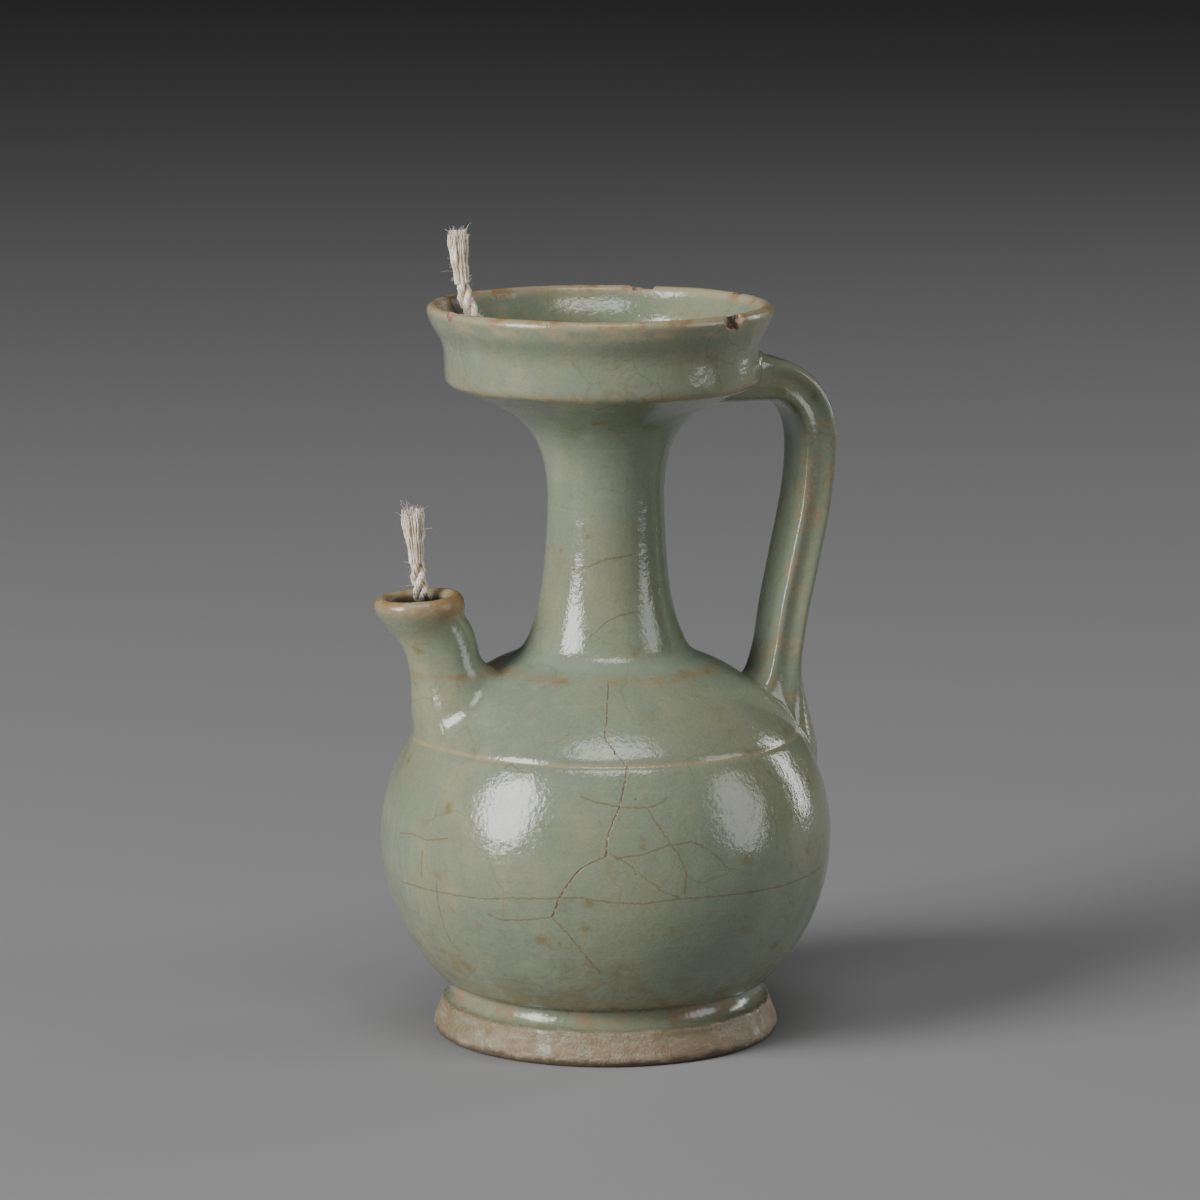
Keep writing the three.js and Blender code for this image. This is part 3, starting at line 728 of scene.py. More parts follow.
def cotton_material():
    """Undyed cotton, oily where it lies in the dish, and near black below the spout's mouth: painted shade
    down the bore, with some char.
    """
    material, nodes, shader = new_material("cotton")
    where = nodes.add("ShaderNodeGroup", node_tree=PLACES).outputs
    place = where["Place"]
    height = where["Height"]
    fibre = nodes.streaks(place, 3.5, 0.8, 4.0, 0.7)
    patch = nodes.noise(place, 0.3, 3.0)
    x = nodes.add("ShaderNodeSeparateXYZ", {0: place}).outputs[0]
    in_spout = nodes.step(x, -42.0, -45.0)
    level = nodes.calc("MULTIPLY_ADD", patch, -5.0, height)
    in_dish = nodes.times(nodes.step(height, 194.0, 176.0), nodes.step(height, 150.0, 170.0))
    deep = nodes.times(nodes.step(height, 172.0, 160.0), nodes.calc("SUBTRACT", 1.0, in_spout))
    colour = nodes.painted(
        nodes.blend(nodes.step(patch, 0.40, 0.64), (0.90, 0.82, 0.70), (0.76, 0.64, 0.49)),
        (nodes.step(fibre, 0.50, 0.70), 0.5, (0.52, 0.40, 0.28)),
        (in_dish, 0.55, (0.40, 0.28, 0.17)),
        (deep, 1.0, (0.42, 0.32, 0.2)),
        # painted shade on the wick below the spout's mouth, where it runs down the bore, with some char
        (nodes.times(nodes.step(level, 121.0, 117.6), in_spout), 0.93, (0.030, 0.020, 0.014)),
    )
    shader.inputs["Specular IOR Level"].default_value = 0.2
    shader.inputs["Sheen Weight"].default_value = 0.35
    finish(nodes, shader, colour, 0.95, fibre, 0.15, 0.8)
    return material


def floor_material():
    material, nodes, shader = new_material("pale_floor")
    nodes.feed(shader.inputs["Base Color"], (0.24, 0.24, 0.244))
    nodes.feed(shader.inputs["Roughness"], 0.8)
    return material


def mesh_object(name, bm, materials):
    mesh = bpy.data.meshes.new(name)
    bm.to_mesh(mesh)
    bm.free()
    for material in materials:
        mesh.materials.append(material)
    made = bpy.data.objects.new(name, mesh)
    bpy.context.collection.objects.link(made)
    return made


def new_piece(name, bm, node, materials):
    """A finished mesh as an object at the origin, in metres, riding on the lamp."""
    bmesh.ops.scale(bm, vec=(MM, MM, MM), verts=bm.verts)
    piece = mesh_object(name, bm, materials)
    polygons = piece.data.polygons
    polygons.foreach_set("use_smooth", [polygon.material_index == 0 for polygon in polygons])
    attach(piece, "root")
    if node:
        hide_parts(node)
    return piece


def shoulder_curve(start, end, steps, inside=0.0):
    """Points of the shoulder, by angles from the widest girth at 0 to the top at a right angle.

    This and the next functions give the vessel's outline as radius and height, from the middle
    of the underside round the lip to the floor inside."""
    power = 2 / SHOULDER_SQUARENESS
    places = []
    for i in range(steps + 1):
        angle = start + (end - start) * i / steps
        radius = (BELLY_RADIUS - inside) * math.cos(angle) ** power
        height = BELLY_HEIGHT + (SHOULDER_RISE - inside) * math.sin(angle) ** power
        places.append((radius, height))
    return places


def neck_radius(height):
    return NECK_RADIUS + NECK_FLARE * math.exp((NECK_FOOT_HEIGHT - height) / NECK_TAPER)


def shoulder_angle_at_radius(radius, inside=0.0):
    return math.acos((radius / (BELLY_RADIUS - inside)) ** (SHOULDER_SQUARENESS / 2))


def arc(middle, radius, start, end, steps):
    places = []
    for i in range(steps + 1):
        angle = math.radians(start + (end - start) * i / steps)
        places.append((middle[0] + radius * math.cos(angle), middle[1] + radius * math.sin(angle)))
    return places


def foot_outline():
    """Recessed underside, the ring that it stands on, its band and the hollow waist above."""
    recess = (FOOT_INNER_RADIUS - 11.9, FOOT_RECESS - 0.2)
    inner = (FOOT_INNER_RADIUS, 1.2)
    ground = [(40.3, 0), (45.3, 0)]
    outer = (FOOT_RADIUS, 2.0)
    band_top = (44.9, 8.4)
    ledge = (44.0, 9.35)
    waist = (FOOT_WAIST_RADIUS, FOOT_HEIGHT)
    return [
        [(0, FOOT_RECESS), recess],
        bezier([recess, (FOOT_INNER_RADIUS - 0.5, 4.2), inner], 8),
        bezier([inner, (39.1, 0), ground[0]], 4),
        ground,
        bezier([ground[1], (46.75, 0.05), outer], 6),
        bezier([outer, (46.8, 4.6), (45.3, 5.6), band_top], 8),
        bezier([band_top, (44.85, 9.1), ledge], 4),
        bezier([ledge, (FOOT_WAIST_RADIUS, 9.9), waist], 12),
        bezier([waist, (FOOT_WAIST_RADIUS, 14.9), (42.5, 14.6), (44.62, BELLY_FOOT_HEIGHT)], 8),
    ]


def belly_outline():
    """From the foot to the widest girth, and on to where the shoulder turns up into the neck."""
    start = math.asin((BELLY_FOOT_HEIGHT - BELLY_HEIGHT) / BELLY_DROP)
    steps = 60
    low = []
    for i in range(steps + 1):
        angle = start * (1 - i / steps)
        low.append((BELLY_RADIUS * math.cos(angle), BELLY_HEIGHT + BELLY_DROP * math.sin(angle)))
    return low, shoulder_curve(0, shoulder_angle_at_radius(NECK_FOOT_RADIUS), 120)


def neck_outline():
    foot = NECK_FOOT_HEIGHT + 2.5
    neck_angle = shoulder_angle_at_radius(NECK_FOOT_RADIUS)
    start = shoulder_curve(neck_angle, neck_angle, 1)[0]
    turn = (neck_radius(NECK_FOOT_HEIGHT) + 0.6, NECK_FOOT_HEIGHT - 0.6)
    fillet = bezier([start, turn, (neck_radius(foot), foot)], 16)
    steps = 60
    rise = DISH_UNDERSIDE - foot
    shaft = [(neck_radius(foot + rise * i / steps), foot + rise * i / steps) for i in range(steps + 1)]
    return fillet, shaft


def dish_outline():
    """Flared underside, the edge, the upright wall, the flare above it and the rolled lip."""
    start = neck_radius(DISH_UNDERSIDE)
    spread = DISH_RADIUS - start
    rise = DISH_EDGE_HEIGHT - DISH_UNDERSIDE
    edge = (DISH_RADIUS - 1.2, DISH_EDGE_HEIGHT)
    underside = bezier([
        (start, DISH_UNDERSIDE),
        (start + spread * 0.005, DISH_UNDERSIDE + rise * 0.65),
        (start + spread * 0.27, DISH_UNDERSIDE + rise * 0.775),
        edge,
    ], 80)
    turn = bezier([edge, (DISH_RADIUS - 0.1, DISH_EDGE_HEIGHT + 0.5), (DISH_RADIUS, DISH_WALL_FOOT)], 6)
    wall = [(DISH_RADIUS, DISH_WALL_FOOT), (DISH_RADIUS, DISH_WALL_TOP)]
    lip_middle = (LIP_RADIUS - LIP_ROLL, RIM_HEIGHT - LIP_ROLL)
    lip_foot = (LIP_RADIUS - 0.5, lip_middle[1] - 1.6)
    flare = bezier([
        (DISH_RADIUS, DISH_WALL_TOP),
        (DISH_RADIUS + 0.2, DISH_WALL_TOP + 4.2),
        (LIP_RADIUS - 1.3, lip_middle[1] - 5.4),
        lip_foot,
    ], 24)
    lip = [lip_foot, *arc(lip_middle, LIP_ROLL, -20, 168, 16)]
    return underside, turn, wall, flare, lip


def hollow_outline():
    """The dish inside, the bore of the neck, and the reservoir down to its floor."""
    wall = DISH_RADIUS - WALL
    lip_middle = LIP_RADIUS - LIP_ROLL
    bore_top = neck_radius(DISH_UNDERSIDE) - WALL
    floor_edge = (wall - 5.2, DISH_EDGE_HEIGHT - 0.24)
    flare = bezier([
        (lip_middle + LIP_ROLL * math.cos(math.radians(168)), RIM_HEIGHT - LIP_ROLL * 0.79),
        (wall + 4.6, RIM_HEIGHT - 3.6),
        (wall + 0.5, RIM_HEIGHT - 7.4),
        (wall, RIM_HEIGHT - 11.5),
    ], 16)
    side = [(wall, RIM_HEIGHT - 11.5), (wall, 183.6)]
    corner = bezier([(wall, 183.6), (wall - 0.4, floor_edge[1] + 1.4), floor_edge], 12)
    dish_floor = bezier([
        floor_edge,
        (bore_top + (wall - bore_top) * 0.25, 173.0),
        (bore_top + 0.3, 168.0),
        (bore_top, DISH_UNDERSIDE + 5.0),
    ], 40)
    bore_foot = NECK_FOOT_HEIGHT + 4.0
    steps = 30
    bore = []
    for i in range(1, steps + 1):
        height = DISH_UNDERSIDE + (bore_foot - DISH_UNDERSIDE) * i / steps
        bore.append((neck_radius(height) - WALL * 1.3, height))
    mouth = shoulder_angle_at_radius(NECK_RADIUS + NECK_FLARE * 0.4, WALL)
    upper = shoulder_curve(mouth, 0, 80, WALL)
    bore.append(Vector(bore[-1]).lerp(Vector(upper[0]), 0.5))
    power = 2 / FLOOR_SQUARENESS
    steps = 60
    lower = []
    for i in range(steps + 1):
        angle = math.pi / 2 * i / steps
        radius = (BELLY_RADIUS - WALL) * max(math.cos(angle), 0.0) ** power
        height = BELLY_HEIGHT - (BELLY_HEIGHT - FLOOR_TOP) * math.sin(angle) ** power
        lower.append((0 if i == steps else radius, height))
    return flare, side, corner, dish_floor, bore, upper, lower


class Vessel:
    """The turned body as a mesh of rows along the outline and columns round it."""

    def __init__(self):
        sections = [*foot_outline(), *belly_outline(), *neck_outline(), *dish_outline(), *hollow_outline()]
        ends = [0.0]
        points = []
        for section in sections:
            points += [Vector(p) for p in section]
            ends.append(Line(points).length)
        self.line = Line(points)
        self.groove = self.mark_at_height(GROOVE_HEIGHT, ends[9])
        below = self.groove - GROOVE_REACH
        above = self.groove + GROOVE_REACH
        fine_start = self.line.mark_where(lambda place: place.x >= 29.0, ends[13])
        fine_end = self.mark_at_height(185.4, ends[14])
        # Each stretch of rows by its end and spacing, finer where the spout and the handle grow out
        stretches = list(zip(ends[1:], [9.0, 2.6, 0.7, 1.8, 0.6, 1.0, 0.45, 1.0, 0.7, 4.2]))
        stretches += [
            (below - 13.2, 4.0),
            (below, 3.3),
            (above, GROOVE_REACH / 2),
            (above + 22.4, 3.2),
            (ends[11], 2.8),
            (ends[12], 1.6),
            (ends[13], 4.0),
            (fine_start, 2.4),
            (fine_end, (fine_end - fine_start) / 15),
        ]
        stretches += zip(ends[16:], [1.2, 1.5, 0.85, 1.4, 2.2, 1.3, 2.8, 6.5, 3.1, 9.0])
        self.rows = []
        start = 0.0
        for end, spacing in stretches:
            self.rows += self.line.spaced(start, end, spacing)
            start = end
        self.rows.append(self.line.length)
        self.waist = ends[8]
        self.outer_end = ends[17]
        self.hollow_start = ends[23]
        self.fine = (fine_start, fine_end)
        self.bm = bmesh.new()
        self.grid = {}
        self.spin()

    def mark_at_height(self, height, start):
        return self.line.mark_where(lambda place: place.y >= height, start)

    def at(self, mark):
        """Radius and height of the outline, with the groove cut in."""
        place = self.line.at(mark)
        share = abs(mark - self.groove) / GROOVE_REACH
        if share < 1:
            place = place - self.normal(mark) * GROOVE_DEPTH * math.cos(share * math.pi / 2) ** 2
        return place

    def normal(self, mark):
        tangent = self.line.along(mark, 0.4)
        return Vector((tangent.y, -tangent.x))

    def point(self, angle, mark):
        radius, height = self.at(mark)
        return Vector((radius * math.cos(angle), radius * math.sin(angle), height))

    def radius_at_height(self, height):
        """Outer radius between the waist and the lip."""
        low = self.waist
        high = self.outer_end
        while high - low > 0.01:
            middle = (low + high) / 2
            if self.line.at(middle).y < height:
                low = middle
            else:
                high = middle
        return self.line.at(low).x

    def holds(self, place):
        """Whether a place is inside the outer surface."""
        return math.hypot(place.x, place.y) < self.radius_at_height(place.z)

    def spin(self):
        bm = self.bm
        row_layer = bm.verts.layers.int.new("row")
        places = [self.at(mark) for mark in self.rows]
        chain = []
        for row, place in enumerate(places):
            vert = bm.verts.new((place.x, 0, place.y))
            vert[row_layer] = row
            chain.append(vert)
        edges = [bm.edges.new(pair) for pair in zip(chain, chain[1:])]
        bmesh.ops.spin(
            bm, geom=[*chain, *edges], axis=(0, 0, 1), cent=(0, 0, 0),
            angle=2 * math.pi, steps=COLUMNS, use_merge=True,
        )
        bmesh.ops.remove_doubles(bm, verts=bm.verts, dist=1e-4)
        for vert in bm.verts:
            angle = math.atan2(vert.co.y, vert.co.x)
            column = round(angle / (2 * math.pi) * COLUMNS) % COLUMNS
            self.grid[vert[row_layer], column] = vert

    def row_near(self, mark):
        return min(range(len(self.rows)), key=lambda row: abs(self.rows[row] - mark))


def around(count):
    """Row and column steps round the edge of a block of cells, from one corner in order."""
    rows, columns = count
    half = columns // 2
    places = [(0, column) for column in range(-half, half)]
    places += [(row, half) for row in range(rows)]
    places += [(rows, column) for column in range(half, -half, -1)]
    places += [(row, -half) for row in range(rows, 0, -1)]
    return places


def open_hole(vessel, angle, first_row, count, rim):
    """Takes a block of cells out and eases the ones round it onto a smooth rim.

    rim gives the distance aside and the mark of each step round the block."""
    rows, columns = count
    half = columns // 2
    middle = round(angle / (2 * math.pi) * COLUMNS)
    grid = vessel.grid

    def vert_at(row, column):
        return grid[first_row + row, (middle + column) % COLUMNS]

    block = {vert_at(row, column) for row in range(rows + 1) for column in range(-half, half + 1)}
    faces = [face for face in vessel.bm.faces if block.issuperset(face.verts)]
    bmesh.ops.delete(vessel.bm, geom=faces, context="FACES")
    shift = {}
    step_angle = 2 * math.pi / COLUMNS
    for (row, column), (aside, mark) in rim.items():
        here = vessel.rows[first_row + row]
        radius = vessel.at(mark).x
        shift[row, column] = (aside / radius - column * step_angle, mark - here)
    for row in range(-EASE, rows + EASE + 1):
        for column in range(-half - EASE, half + EASE + 1):
            near = (min(max(row, 0), rows), min(max(column, -half), half))
            if near not in shift:
                continue
            away = max(abs(row - near[0]), abs(column - near[1]))
            weight = (1 - away / (EASE + 1)) ** 2
            turn, slide = shift[near]
            mark = vessel.rows[first_row + row] + slide * weight
            turned = angle + column * step_angle + turn * weight
            vert_at(row, column).co = vessel.point(turned, mark)
    return {step: vert_at(*step) for step in rim}


def extruded_ring(bm, loop, places):
    """The next ring of faces from a closed loop of verts, moved to its places."""
    edges = [bm.edges.get(pair) for pair in zip(loop, loop[1:] + loop[:1])]
    made = bmesh.ops.extrude_edge_only(bm, edges=edges)["geom"]
    fresh = {v for v in made if isinstance(v, bmesh.types.BMVert)}
    ring = []
    for vert, place in zip(loop, places):
        twin = next(e.other_vert(vert) for e in vert.link_edges if e.other_vert(vert) in fresh)
        twin.co = place
        ring.append(twin)
    return ring


def oval_rim(vessel, first_row, count, middle, wide, low, high, power=2.0):
    """An oval opening. The steps up its sides keep the height of their rows."""
    rows, columns = count
    half = columns // 2

    def aside_at(mark):
        share = abs(mark - middle) / (high if mark > middle else low)
        return wide * (1 - min(1, share) ** power) ** (1 / power)

    rim = {}
    for row, column in around(count):
        mark = vessel.rows[first_row + row]
        if abs(column) == half:
            aside = math.copysign(aside_at(mark), column)
        else:
            aside = aside_at(mark) * column / half
            reach = -low if row == 0 else high
            mark = middle + reach * (1 - (abs(aside) / wide) ** power) ** (1 / power)
        rim[row, column] = (aside, mark)
    return rim


def round_rim(count, middle, radius):
    rows, columns = count
    rim = {}
    for row, column in around(count):
        angle = math.atan2(row - rows / 2, column * rows / columns)
        rim[row, column] = (radius * math.cos(angle), middle + radius * math.sin(angle))
    return rim


def grown(bm, loop, curves, steps):
    """Rings of faces from a loop of verts, each vert along its own Bezier curve."""
    paths = [bezier(curve, steps) for curve in curves]
    for i in range(1, steps + 1):
        loop = extruded_ring(bm, loop, [path[i] for path in paths])
    return loop


def root_of(vessel, place_at, start, step):
    """Where a line that runs into the body from outside meets its surface."""
    distance = start
    while not vessel.holds(place_at(distance)) and abs(distance - start) < 40:
        distance += step
    return place_at(distance)


def grown_out(vessel, loop, lines, free, steps):
    """Rings from the rim of a hole out to where the spout or the handle stands free."""
    curves = []
    for vert, place_at in zip(loop, lines):
        curves.append((vert.co.copy(), root_of(vessel, place_at, free, -0.2), place_at(free)))
    return grown(vessel.bm, loop, curves, steps)


def welded(bm, loop, ends):
    bmesh.ops.weld_verts(bm, targetmap=dict(zip(loop, ends)))


# Spout: how far towards -X, the tip of the section and the height, from the root to the lip
SPOUT_LINE = smooth_line([
    (32.7, 0.73, 83.1),
    (40.2, 0.68, 90.7),
    (44.1, 0.60, 96.3),
    (45.4, 0.42, 104.7),
    (47.4, 0.25, 110.9),
    (50.7, 0.12, 115.3),
    (52.3, 0.08, 120.1),
])
SPOUT_LIP = SPOUT_LINE.length
SPOUT_FREE = 16.0
# Rows and columns of the hole, how far down its first row lies, and the oval of its rim
SPOUT_COUNT = (12, 12)
SPOUT_HOLE_DOWN = 19.5
SPOUT_ROOT_HEIGHT = 92.6
SPOUT_ROOT_ASIDE = 19.5
SPOUT_ROOT_DOWN = 22.5
SPOUT_ROOT_UP = 15.5
# Height and radius of the opening of its bore inside the vessel
BORE_ROOT_HEIGHT = 89.9
BORE_ROOT_RADIUS = 8.0
# Distance along the spout and radius, up the outside, over the lip and down the bore
SPOUT_OUTLINE = smooth_line([
    (9.3, 15.6),
    (SPOUT_FREE, 12.7),
    (21.1, 10.7),
    (27.3, 9.8),
    (32.1, 9.75),
    (SPOUT_LIP - 5.0, 10.75),
    (SPOUT_LIP - 2.4, 11.8),
    (SPOUT_LIP - 0.3, SPOUT_LIP_RADIUS),
    (SPOUT_LIP + 1.2, 11.5),
    (SPOUT_LIP + 1.9, 10.0),
    (SPOUT_LIP + 1.3, 8.6),
    (SPOUT_LIP - 0.4, 7.7),
    (SPOUT_LIP - 3.5, 7.0),
    (SPOUT_LIP - 10.0, SPOUT_BORE),
    (20.0, SPOUT_BORE),
    (9.3, SPOUT_BORE),
])


def spout_point(distance, radius, turn):
    """A place round the spout. Turn 0 faces the neck and a quarter turn faces the front."""
    reached = min(max(distance, 0.0), SPOUT_LIP)
    reach, tip, height = SPOUT_LINE.at(reached)
    across = Vector((math.cos(tip), 0, math.sin(tip)))
    upward = Vector((-math.sin(tip), 0, math.cos(tip)))
    place = Vector((-reach, 0, height)) + upward * (distance - reached)
    return place + (across * math.cos(turn) - Vector((0, 1, 0)) * math.sin(turn)) * radius


def spout_mark(distance):
    """Where the outside of the spout is the distance along it."""
    return SPOUT_OUTLINE.mark_where(lambda place: place.x >= distance, step=0.1)


def add_spout(vessel):
    bm = vessel.bm
    count = SPOUT_COUNT
    rows = count[0]
    order = around(count)
    middle = vessel.mark_at_height(SPOUT_ROOT_HEIGHT, vessel.groove)
    first_row = vessel.row_near(middle - SPOUT_HOLE_DOWN)
    rim = oval_rim(vessel, first_row, count, middle, SPOUT_ROOT_ASIDE, SPOUT_ROOT_DOWN, SPOUT_ROOT_UP)
    hole = open_hole(vessel, math.pi, first_row, count, rim)
    turns = []
    for step in order:
        aside, mark = rim[step]
        up = (mark - middle) / (SPOUT_ROOT_UP if mark > middle else SPOUT_ROOT_DOWN)
        turns.append(math.atan2(aside / SPOUT_ROOT_ASIDE, up))

    def ring_at(distance, radius):
        return [spout_point(distance, radius, turn) for turn in turns]

    def line_at(turn):
        return lambda distance: spout_point(distance, SPOUT_OUTLINE.at(spout_mark(distance)).y, turn)

    loop = grown_out(vessel, [hole[step] for step in order], [line_at(turn) for turn in turns], SPOUT_FREE, 6)
    lip = [mark for mark in range(int(SPOUT_OUTLINE.length)) if SPOUT_OUTLINE.at(mark).x > SPOUT_LIP - 3.5]
    marks = SPOUT_OUTLINE.spaced(spout_mark(SPOUT_FREE), lip[0], 2.2)[1:]
    marks += SPOUT_OUTLINE.spaced(lip[0], lip[-1], 0.9)
    marks += SPOUT_OUTLINE.spaced(lip[-1], SPOUT_OUTLINE.length, 2.8)
    for mark in [*marks, SPOUT_OUTLINE.length]:
        loop = extruded_ring(bm, loop, ring_at(*SPOUT_OUTLINE.at(mark)))
    bore_mark = vessel.line.mark_where(lambda place: place.y <= BORE_ROOT_HEIGHT, vessel.hollow_start)
    bore_row = vessel.row_near(bore_mark) - rows // 2
    bore_rim = round_rim(count, bore_mark, BORE_ROOT_RADIUS)
    inner = open_hole(vessel, math.pi, bore_row, count, bore_rim)
    ends = [inner[rows - row, column] for row, column in order]
    loop = extruded_ring(bm, loop, [vert.co.copy() for vert in ends])
    welded(bm, loop, ends)


# Handle: the middle of the strap, as reach towards +X and height, and the rows and columns round it
HANDLE_LINE = smooth_line([
    (30.4, 177.3),
    (38.4, 177.9),
    (44.6, 177.8),
    (49.55, 176.4),
    (53.45, 173.7),
    (56.55, 169.2),
    (58.05, 163.7),
    (58.15, 157.5),
    (56.84, 142.9),
    (54.69, 132.05),
    (52.63, 122.4),
    (50.76, 113.3),
    (49.36, 104.3),
    (48.8, 99.0),
    (47.2, 91.0),
    (45.2, 83.0),
])
HANDLE_COUNT = (14, 8)
# Distances along it where it stands free of the dish and where it starts to merge with the shoulder
HANDLE_LEAVES = 18.4
HANDLE_LANDS = HANDLE_LINE.length - 21.5


def strap_place(step, distance):
    """A place on the strap. Row 0 runs across its outer face and the last row across its inner one."""
    row, column = step
    rows, columns = HANDLE_COUNT
    share = distance / HANDLE_LINE.length
    at_dish = 1 - smoothstep(0.18, 0.40, share)
    at_foot = smoothstep(0.84, 0.96, share)
    half_thick = HANDLE_THICKNESS / 2
    half_wide = HANDLE_WIDTH / 2
    edge = HANDLE_EDGE
    corner = edge * math.pi / 4
    if row in (0, rows):
        run = abs(column) / (columns / 2) * (half_wide - edge + corner)
        turn = max(0.0, run - (half_wide - edge)) / edge
        aside = min(run, half_wide - edge) + edge * math.sin(turn)
        out = half_thick - edge + edge * math.cos(turn)
    else:
        run = abs(row - rows / 2) / (rows / 2) * (half_thick - edge + corner)
        turn = max(0.0, run - (half_thick - edge)) / edge
        out = min(run, half_thick - edge) + edge * math.sin(turn)
        aside = half_wide - edge + edge * math.cos(turn)
        aside -= CHANNEL_DEPTH * math.cos(min(1.0, out / 3.6) * math.pi / 2) ** 2
    aside = math.copysign(aside, column) if column else 0.0
    out = -out if row > rows / 2 else out
    if row == rows / 2:
        out = 0.0
    aside *= 1 + 0.10 * at_dish + 0.12 * at_foot
    out *= 1 + 0.16 * at_dish + 0.22 * at_foot
    middle = HANDLE_LINE.at(distance)
    along = HANDLE_LINE.along(distance, 0.8)
    return Vector((middle.x - along.y * out, aside, middle.y + along.x * out))


def add_handle(vessel):
    bm = vessel.bm
    count = HANDLE_COUNT
    rows = count[0]
    order = around(count)

    def line_at(step):
        return lambda distance: strap_place(step, distance)

    fine_start, fine_end = vessel.fine
    half = (fine_end - fine_start) / 2
    first_row = vessel.row_near(fine_end) - rows
    top_rim = oval_rim(vessel, first_row, count, fine_start + half + 0.6, 13.4, half + 1.6, half + 1.0, 3.5)
    top = open_hole(vessel, 0.0, first_row, count, top_rim)
    loop = [top[rows - row, column] for row, column in order]
    loop = grown_out(vessel, loop, [line_at(step) for step in order], HANDLE_LEAVES, 7)
    for distance in [*HANDLE_LINE.spaced(HANDLE_LEAVES, HANDLE_LANDS, 2.6)[1:], HANDLE_LANDS]:
        loop = extruded_ring(bm, loop, [strap_place(step, distance) for step in order])
    low_row = vessel.row_near(vessel.groove - 14.5)
    middle = vessel.mark_at_height(90.0, vessel.groove)
    tail_rim = oval_rim(
        vessel, low_row, count, middle, 13.2,
        middle - vessel.rows[low_row] + 1.6, vessel.rows[low_row + rows] - middle + 2.2, 2.4,
    )
    tail = open_hole(vessel, 0.0, low_row, count, tail_rim)
    ends = [tail[step] for step in order]
    curves = []
    for step, vert, end in zip(order, loop, ends):
        row, column = step
        root = root_of(vessel, line_at(step), HANDLE_LANDS, 0.2)
        outer = (1 - row / rows) ** 1.5
        crown = 1 - 0.4 * (column / 4) ** 2
        mark = tail_rim[step][1]
        rise = vessel.point(0.0, mark) - vessel.point(0.0, mark + 7.0)
        bulge = vessel.normal(mark)
        lift = Vector((bulge.x, 0, bulge.y)) * 7.8 * crown
        falling = vert.co + Vector((-2.4, 0, -13.0))
        landing = end.co + lift - rise
        curves.append((vert.co.copy(), root.lerp(falling, outer), root.lerp(landing, outer), end.co.copy()))
    welded(bm, grown(bm, loop, curves, 12), ends)


def smoothed(bm):
    """The mesh after one level of subdivision, leaning and slightly uneven as thrown clay is."""
    rough = mesh_object("clay", bm, [])
    smoothing = rough.modifiers.new("smoothing", "SUBSURF")
    smoothing.levels = 1
    smoothing.render_levels = 1
    bm = finished(rough)
    bm.normal_update()
    for vert in bm.verts:
        place = vert.co.copy()
        if place.z >= 1.0:
            vert.co += vert.normal * (0.20 * noise.noise(place * 0.045) + 0.07 * noise.noise(place * 0.16))
        vert.co.x -= DISH_LEAN * smoothstep(LEAN_START, RIM_HEIGHT, place.z)
    return bm


# Chips of the lip: bearing from the handle, depth, how much lower they lie on the inner side,
# and their outline as places aside and above the rim. The second group opens into the first.
NOTCH = -58.8
SLIT = -165.5
BACK_FLAKE = 59.4
SMALL_FLAKE = 15.6
DEEP_CHIPS = [
    (NOTCH, 3.75, 0.0, [
        (-3.2, 1.2), (-2.5, -0.6), (-0.9, -2.0), (0.5, -3.7), (1.6, -5.0), (2.3, -2.4), (2.8, 1.2),
    ]),
    (SLIT, 2.3, 0.0, [(-1.3, 1.2), (-1.0, -0.9), (-0.8, -2.3), (-0.1, -1.3), (0.6, 1.2)]),
    (BACK_FLAKE, 4.3, 1.5, [(-5.2, 1.2), (-4.8, -1.1), (-2.4, -0.9), (1.0, -0.6), (4.6, -0.2), (5.6, 1.2)]),
    (SMALL_FLAKE, 4.3, 1.2, [(-4.0, 1.2), (-3.0, -0.1), (0.2, -0.6), (2.8, -0.3), (3.6, 1.2)]),
]
SHALLOW_CHIPS = [
    (NOTCH, 2.3, 0.0, [
        (-5.8, 1.2), (-5.4, -1.3), (-5.0, -3.4), (-3.4, -4.9), (-0.4, -5.4), (1.5, -4.5), (1.2, 1.2),
    ]),
    (NOTCH, 2.9, 0.0, [(1.3, 1.2), (1.5, -3.9), (2.6, -3.7), (4.2, -1.9), (5.7, 1.2)]),
    (SLIT, 1.5, 0.0, [(-3.0, 1.2), (-2.5, -1.2), (-1.0, -2.6), (0.9, -2.0), (2.4, 1.2)]),
]
# Rings of a chip's cutter, the spacing round its outline, and how far it stands proud of the lip
CHIP_RINGS = 8
CHIP_STEP = 0.7
CHIP_PROUD = 2.6


